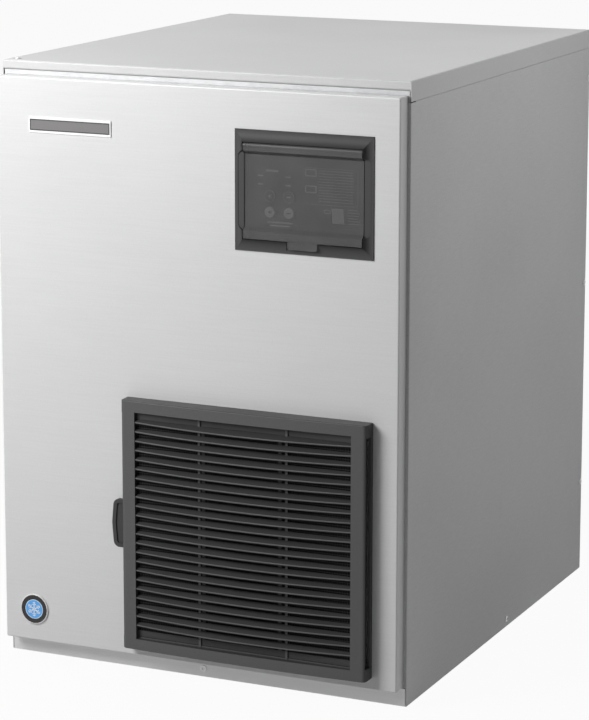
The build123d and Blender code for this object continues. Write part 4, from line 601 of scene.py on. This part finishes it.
def crystal_line(shape, start_r, start_a, end_r, end_a, width):
    """A flat stroke between two points on the badge, given by their radius and angle."""
    (x0, z0), (x1, z1) = (
        (badge_x + r * math.cos(a), badge_z + r * math.sin(a))
        for r, a in ((start_r, start_a), (end_r, end_a))
    )
    length = math.hypot(x1 - x0, z1 - z0)
    side_x = -(z1 - z0) / length * width / 2
    side_z = (x1 - x0) / length * width / 2
    corners = ((x0 + side_x, z0 + side_z), (x0 - side_x, z0 - side_z),
               (x1 - side_x, z1 - side_z), (x1 + side_x, z1 + side_z))
    shape.faces.new([shape.verts.new((x, crystal_y, z)) for x, z in corners])


def crystal_shape(shape):
    arm_length, arm_width, branch_width = 0.0098, 0.0013, 0.001
    for number in range(6):
        angle = math.radians(30 + 60 * number)
        crystal_line(shape, 0.0, angle, arm_length, angle, arm_width)
        for branch_r, reach in ((0.0048, 0.0032), (0.0075, 0.0022)):
            outward, sideward = branch_r + reach * 0.6, reach * 0.8
            tip_r = math.hypot(outward, sideward)
            for side in (-1, 1):
                tip_a = angle + side * math.atan2(sideward, outward)
                crystal_line(shape, branch_r, angle, tip_r, tip_a, branch_width)


crystal = mesh_object("ice_crystal", crystal_shape, crystal_white)
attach(crystal, "casing")

# Casing screws: cross recessed, of zinc plated steel, turned and screwed through the edges of
# the panels into the frame.
screw_steel = brushed_steel("screw_steel", (0.5, 0.5, 0.5), (900, 900, 900),
                            roughness=0.32, metallic=0.7, contrast=0.06)
dress(screw_steel, "casing_screws")

# Ice maker: a cast gearbox carries the evaporator, a bright stainless cylinder in black foam
# with a copper coil brazed round it and a brass housing below. The auger turns in it under the
# extruding head and the cutter.
cast = plastic("cast_alloy", (0.42, 0.42, 0.43), 0.55, grain_scale=400.0, relief=0.4)
bright = brushed_steel("bright_steel", (0.6, 0.6, 0.61), (500, 500, 40),
                       roughness=0.25, metallic=0.9, contrast=0.04)
copper = brushed_steel("copper_tube", (0.62, 0.3, 0.18), (300, 300, 300),
                       roughness=0.32, metallic=0.9, contrast=0.08)
brass = brushed_steel("brass_body", (0.6, 0.45, 0.2), (300, 300, 300),
                      roughness=0.35, metallic=0.9, contrast=0.06)
foam = plastic("foam", (0.02, 0.02, 0.021), 0.85, grain_scale=350.0, relief=0.8)
dress(cast, "gearbox")
dress(bright, "evaporator_cylinder", "auger", "extruding_head", "ice_cutter")
dress(copper, "evaporator_coil")
dress(brass, "lower_housing")
dress(foam, "insulation_sleeve")

# Refrigeration circuit and motors: a painted steel compressor on rubber mounts, copper lines
# and drier brazed to it, and a brass expansion valve. The motors are painted like it.
black_paint = plastic("black_paint", (0.015, 0.015, 0.016), 0.3, grain_scale=500.0, relief=0.1)
rubber = plastic("rubber", (0.015, 0.015, 0.015), 0.75, grain_scale=900.0, relief=0.3)
dress(copper, "discharge_line", "drier", "liquid_lines", "suction_line")
dress(brass, "expansion_valve")
dress(black_paint, "drive_motor", "fan_motor", "compressor")
dress(rubber, "compressor_mounts")

# Water supply: a turned brass inlet valve screwed into the rear panel, and cloudy plastic
# hoses pushed over the spigots of the tank and of the ice maker.
hose = plastic("hose", (0.45, 0.45, 0.43), 0.35, grain_scale=500.0, relief=0.1)
dress(brass, "inlet_valve")
dress(hose, "water_hoses")

# Condenser: a pack of thin aluminium fins pressed on its tubes, screwed to the base pan
# behind the grille.
fins, tree, shader = new_material("fins")
place = add_node(tree, "TexCoord").outputs["Object"]
stripes = add_node(tree, "TexWave", {"Scale": 160.0}, {"Vector": place}, bands_direction="X")
tint = add_node(tree, "MapRange", {"To Min": 0.12, "To Max": 0.6},
                {"Value": stripes.outputs["Fac"]})
tree.links.new(tint.outputs[0], shader.inputs["Base Color"])
shader.inputs["Metallic"].default_value = 0.7
shader.inputs["Roughness"].default_value = 0.4
dress(fins, "condenser")

# Circuit boards: glass fibre with a green solder mask and dull specks of solder, screwed
# behind the control plate and into the control box.
board, tree, shader = new_material("board")
place = add_node(tree, "TexCoord").outputs["Object"]
dots = add_node(tree, "TexVoronoi", {"Scale": 260.0}, {"Vector": place})
solder = add_node(tree, "Math", {1: 0.18}, {0: dots.outputs["Distance"]},
                  operation="LESS_THAN")
board_color = add_node(tree, "Mix", {6: (0.01, 0.09, 0.03, 1), 7: (0.5, 0.5, 0.48, 1)},
                       {0: solder.outputs[0]}, data_type="RGBA")
tree.links.new(board_color.outputs[2], shader.inputs["Base Color"])
shader.inputs["Roughness"].default_value = 0.4
dress(board, "switch_board", "circuit_board")

# Studio: a pale floor that looks white and keeps a little of the shadow, a white world, a soft
# key at the front left, one lamp above, and weak ones to the right and behind.
floor_grey, floor_reach, floor_z, floor_glow = 0.45, 12, -0.0005, 0.95
world_level, white_level = 0.02, 1.0


def seen_directly(tree):
    """The light path, and a mask of the rays that come from the camera or a gloss."""
    light_path = add_node(tree, "LightPath")
    seen = add_node(tree, "Math", operation="MAXIMUM",
                    links={0: light_path.outputs["Is Camera Ray"],
                           1: light_path.outputs["Is Glossy Ray"]})
    return light_path, seen.outputs[0]


floor_paint, tree, shader = new_material("floor_paint")
shader.inputs["Base Color"].default_value = (floor_grey, floor_grey, floor_grey, 1)
shader.inputs["Roughness"].default_value = 0.9
_, seen = seen_directly(tree)
glow = add_node(tree, "Emission", {"Color": (1, 1, 1, 1), "Strength": white_level})
share = add_node(tree, "Math", {1: floor_glow}, {0: seen}, operation="MULTIPLY")
mixed = add_node(tree, "MixShader",
                 links={0: share.outputs[0], 1: shader.outputs[0], 2: glow.outputs[0]})
output = next(node for node in tree.nodes if node.type == "OUTPUT_MATERIAL")
tree.links.new(mixed.outputs[0], output.inputs[0])


def floor_shape(shape):
    ends = ((-floor_reach, -floor_reach), (floor_reach, -floor_reach),
            (floor_reach, floor_reach), (-floor_reach, floor_reach))
    shape.faces.new([shape.verts.new((x, y, floor_z)) for x, y in ends])


floor = mesh_object("floor", floor_shape, floor_paint)

world = bpy.data.worlds.new("studio")
bpy.context.scene.world = world
world.use_nodes = True
tree = world.node_tree
tree.nodes.clear()
light_path, seen = seen_directly(tree)
plain = add_node(tree, "Background", {"Color": (1, 1, 1, 1), "Strength": world_level})
white = add_node(tree, "Background", {"Color": (1, 1, 1, 1), "Strength": white_level})
seen_all = add_node(tree, "Math", links={0: seen, 1: light_path.outputs["Is Transmission Ray"]},
                    operation="MAXIMUM")
mixed = add_node(tree, "MixShader",
                 links={0: seen_all.outputs[0], 1: plain.outputs[0], 2: white.outputs[0]})
output = tree.nodes.new("ShaderNodeOutputWorld")
tree.links.new(mixed.outputs[0], output.inputs[0])


def area_lamp(name, position, target, width, height, watts):
    lamp = bpy.data.lights.new(name, "AREA")
    lamp.shape = "RECTANGLE"
    lamp.size = width
    lamp.size_y = height
    lamp.energy = watts
    made = bpy.data.objects.new(name, lamp)
    made.location = position
    aim = Vector(target) - Vector(position)
    made.rotation_euler = aim.to_track_quat("-Z", "Y").to_euler()
    bpy.context.scene.collection.objects.link(made)


area_lamp("key", (-0.83, -1.51, 1.27), (0, -0.3, 0.5), 0.8, 0.8, watts=31)
area_lamp("overhead", (-1.25, 0.43, 2.14), (0, 0, 0.6), 1.0, 1.0, watts=17.5)
area_lamp("right_fill", (1.05, 0.04, 1.29), (0.28, 0.1, 0.6), 0.5, 0.5, watts=4.3)
area_lamp("rear_fill", (-1.3, 2.0, 0.42), (0, 0.3, 0.4), 0.9, 0.55, watts=9)

# Camera: where the photograph was taken from. It looks a little down with a small shift of the
# lens, so that the object stays in the frame from every side.
image_height, focal_length, sensor = 720, 2861.4, 36.0  # pixels, pixels, millimetres
pitch, turn, shift_right = 10.569, 24.65, 15  # degrees, degrees, pixels
camera_data = bpy.data.cameras.new("camera")
camera = bpy.data.objects.new("camera", camera_data)
bpy.context.scene.collection.objects.link(camera)
camera.location = (1.5507, -3.4605, 1.1882)
camera.rotation_euler = (math.radians(90 - pitch), 0, math.radians(turn))
camera_data.sensor_fit = "VERTICAL"
camera_data.sensor_height = sensor
camera_data.sensor_width = sensor
camera_data.lens = focal_length / image_height * sensor
camera_data.shift_x = shift_right / image_height
camera_data.shift_y = -0.13
camera_data.clip_end = 60
bpy.context.scene.camera = camera
bpy.context.scene.view_settings.view_transform = "Standard"
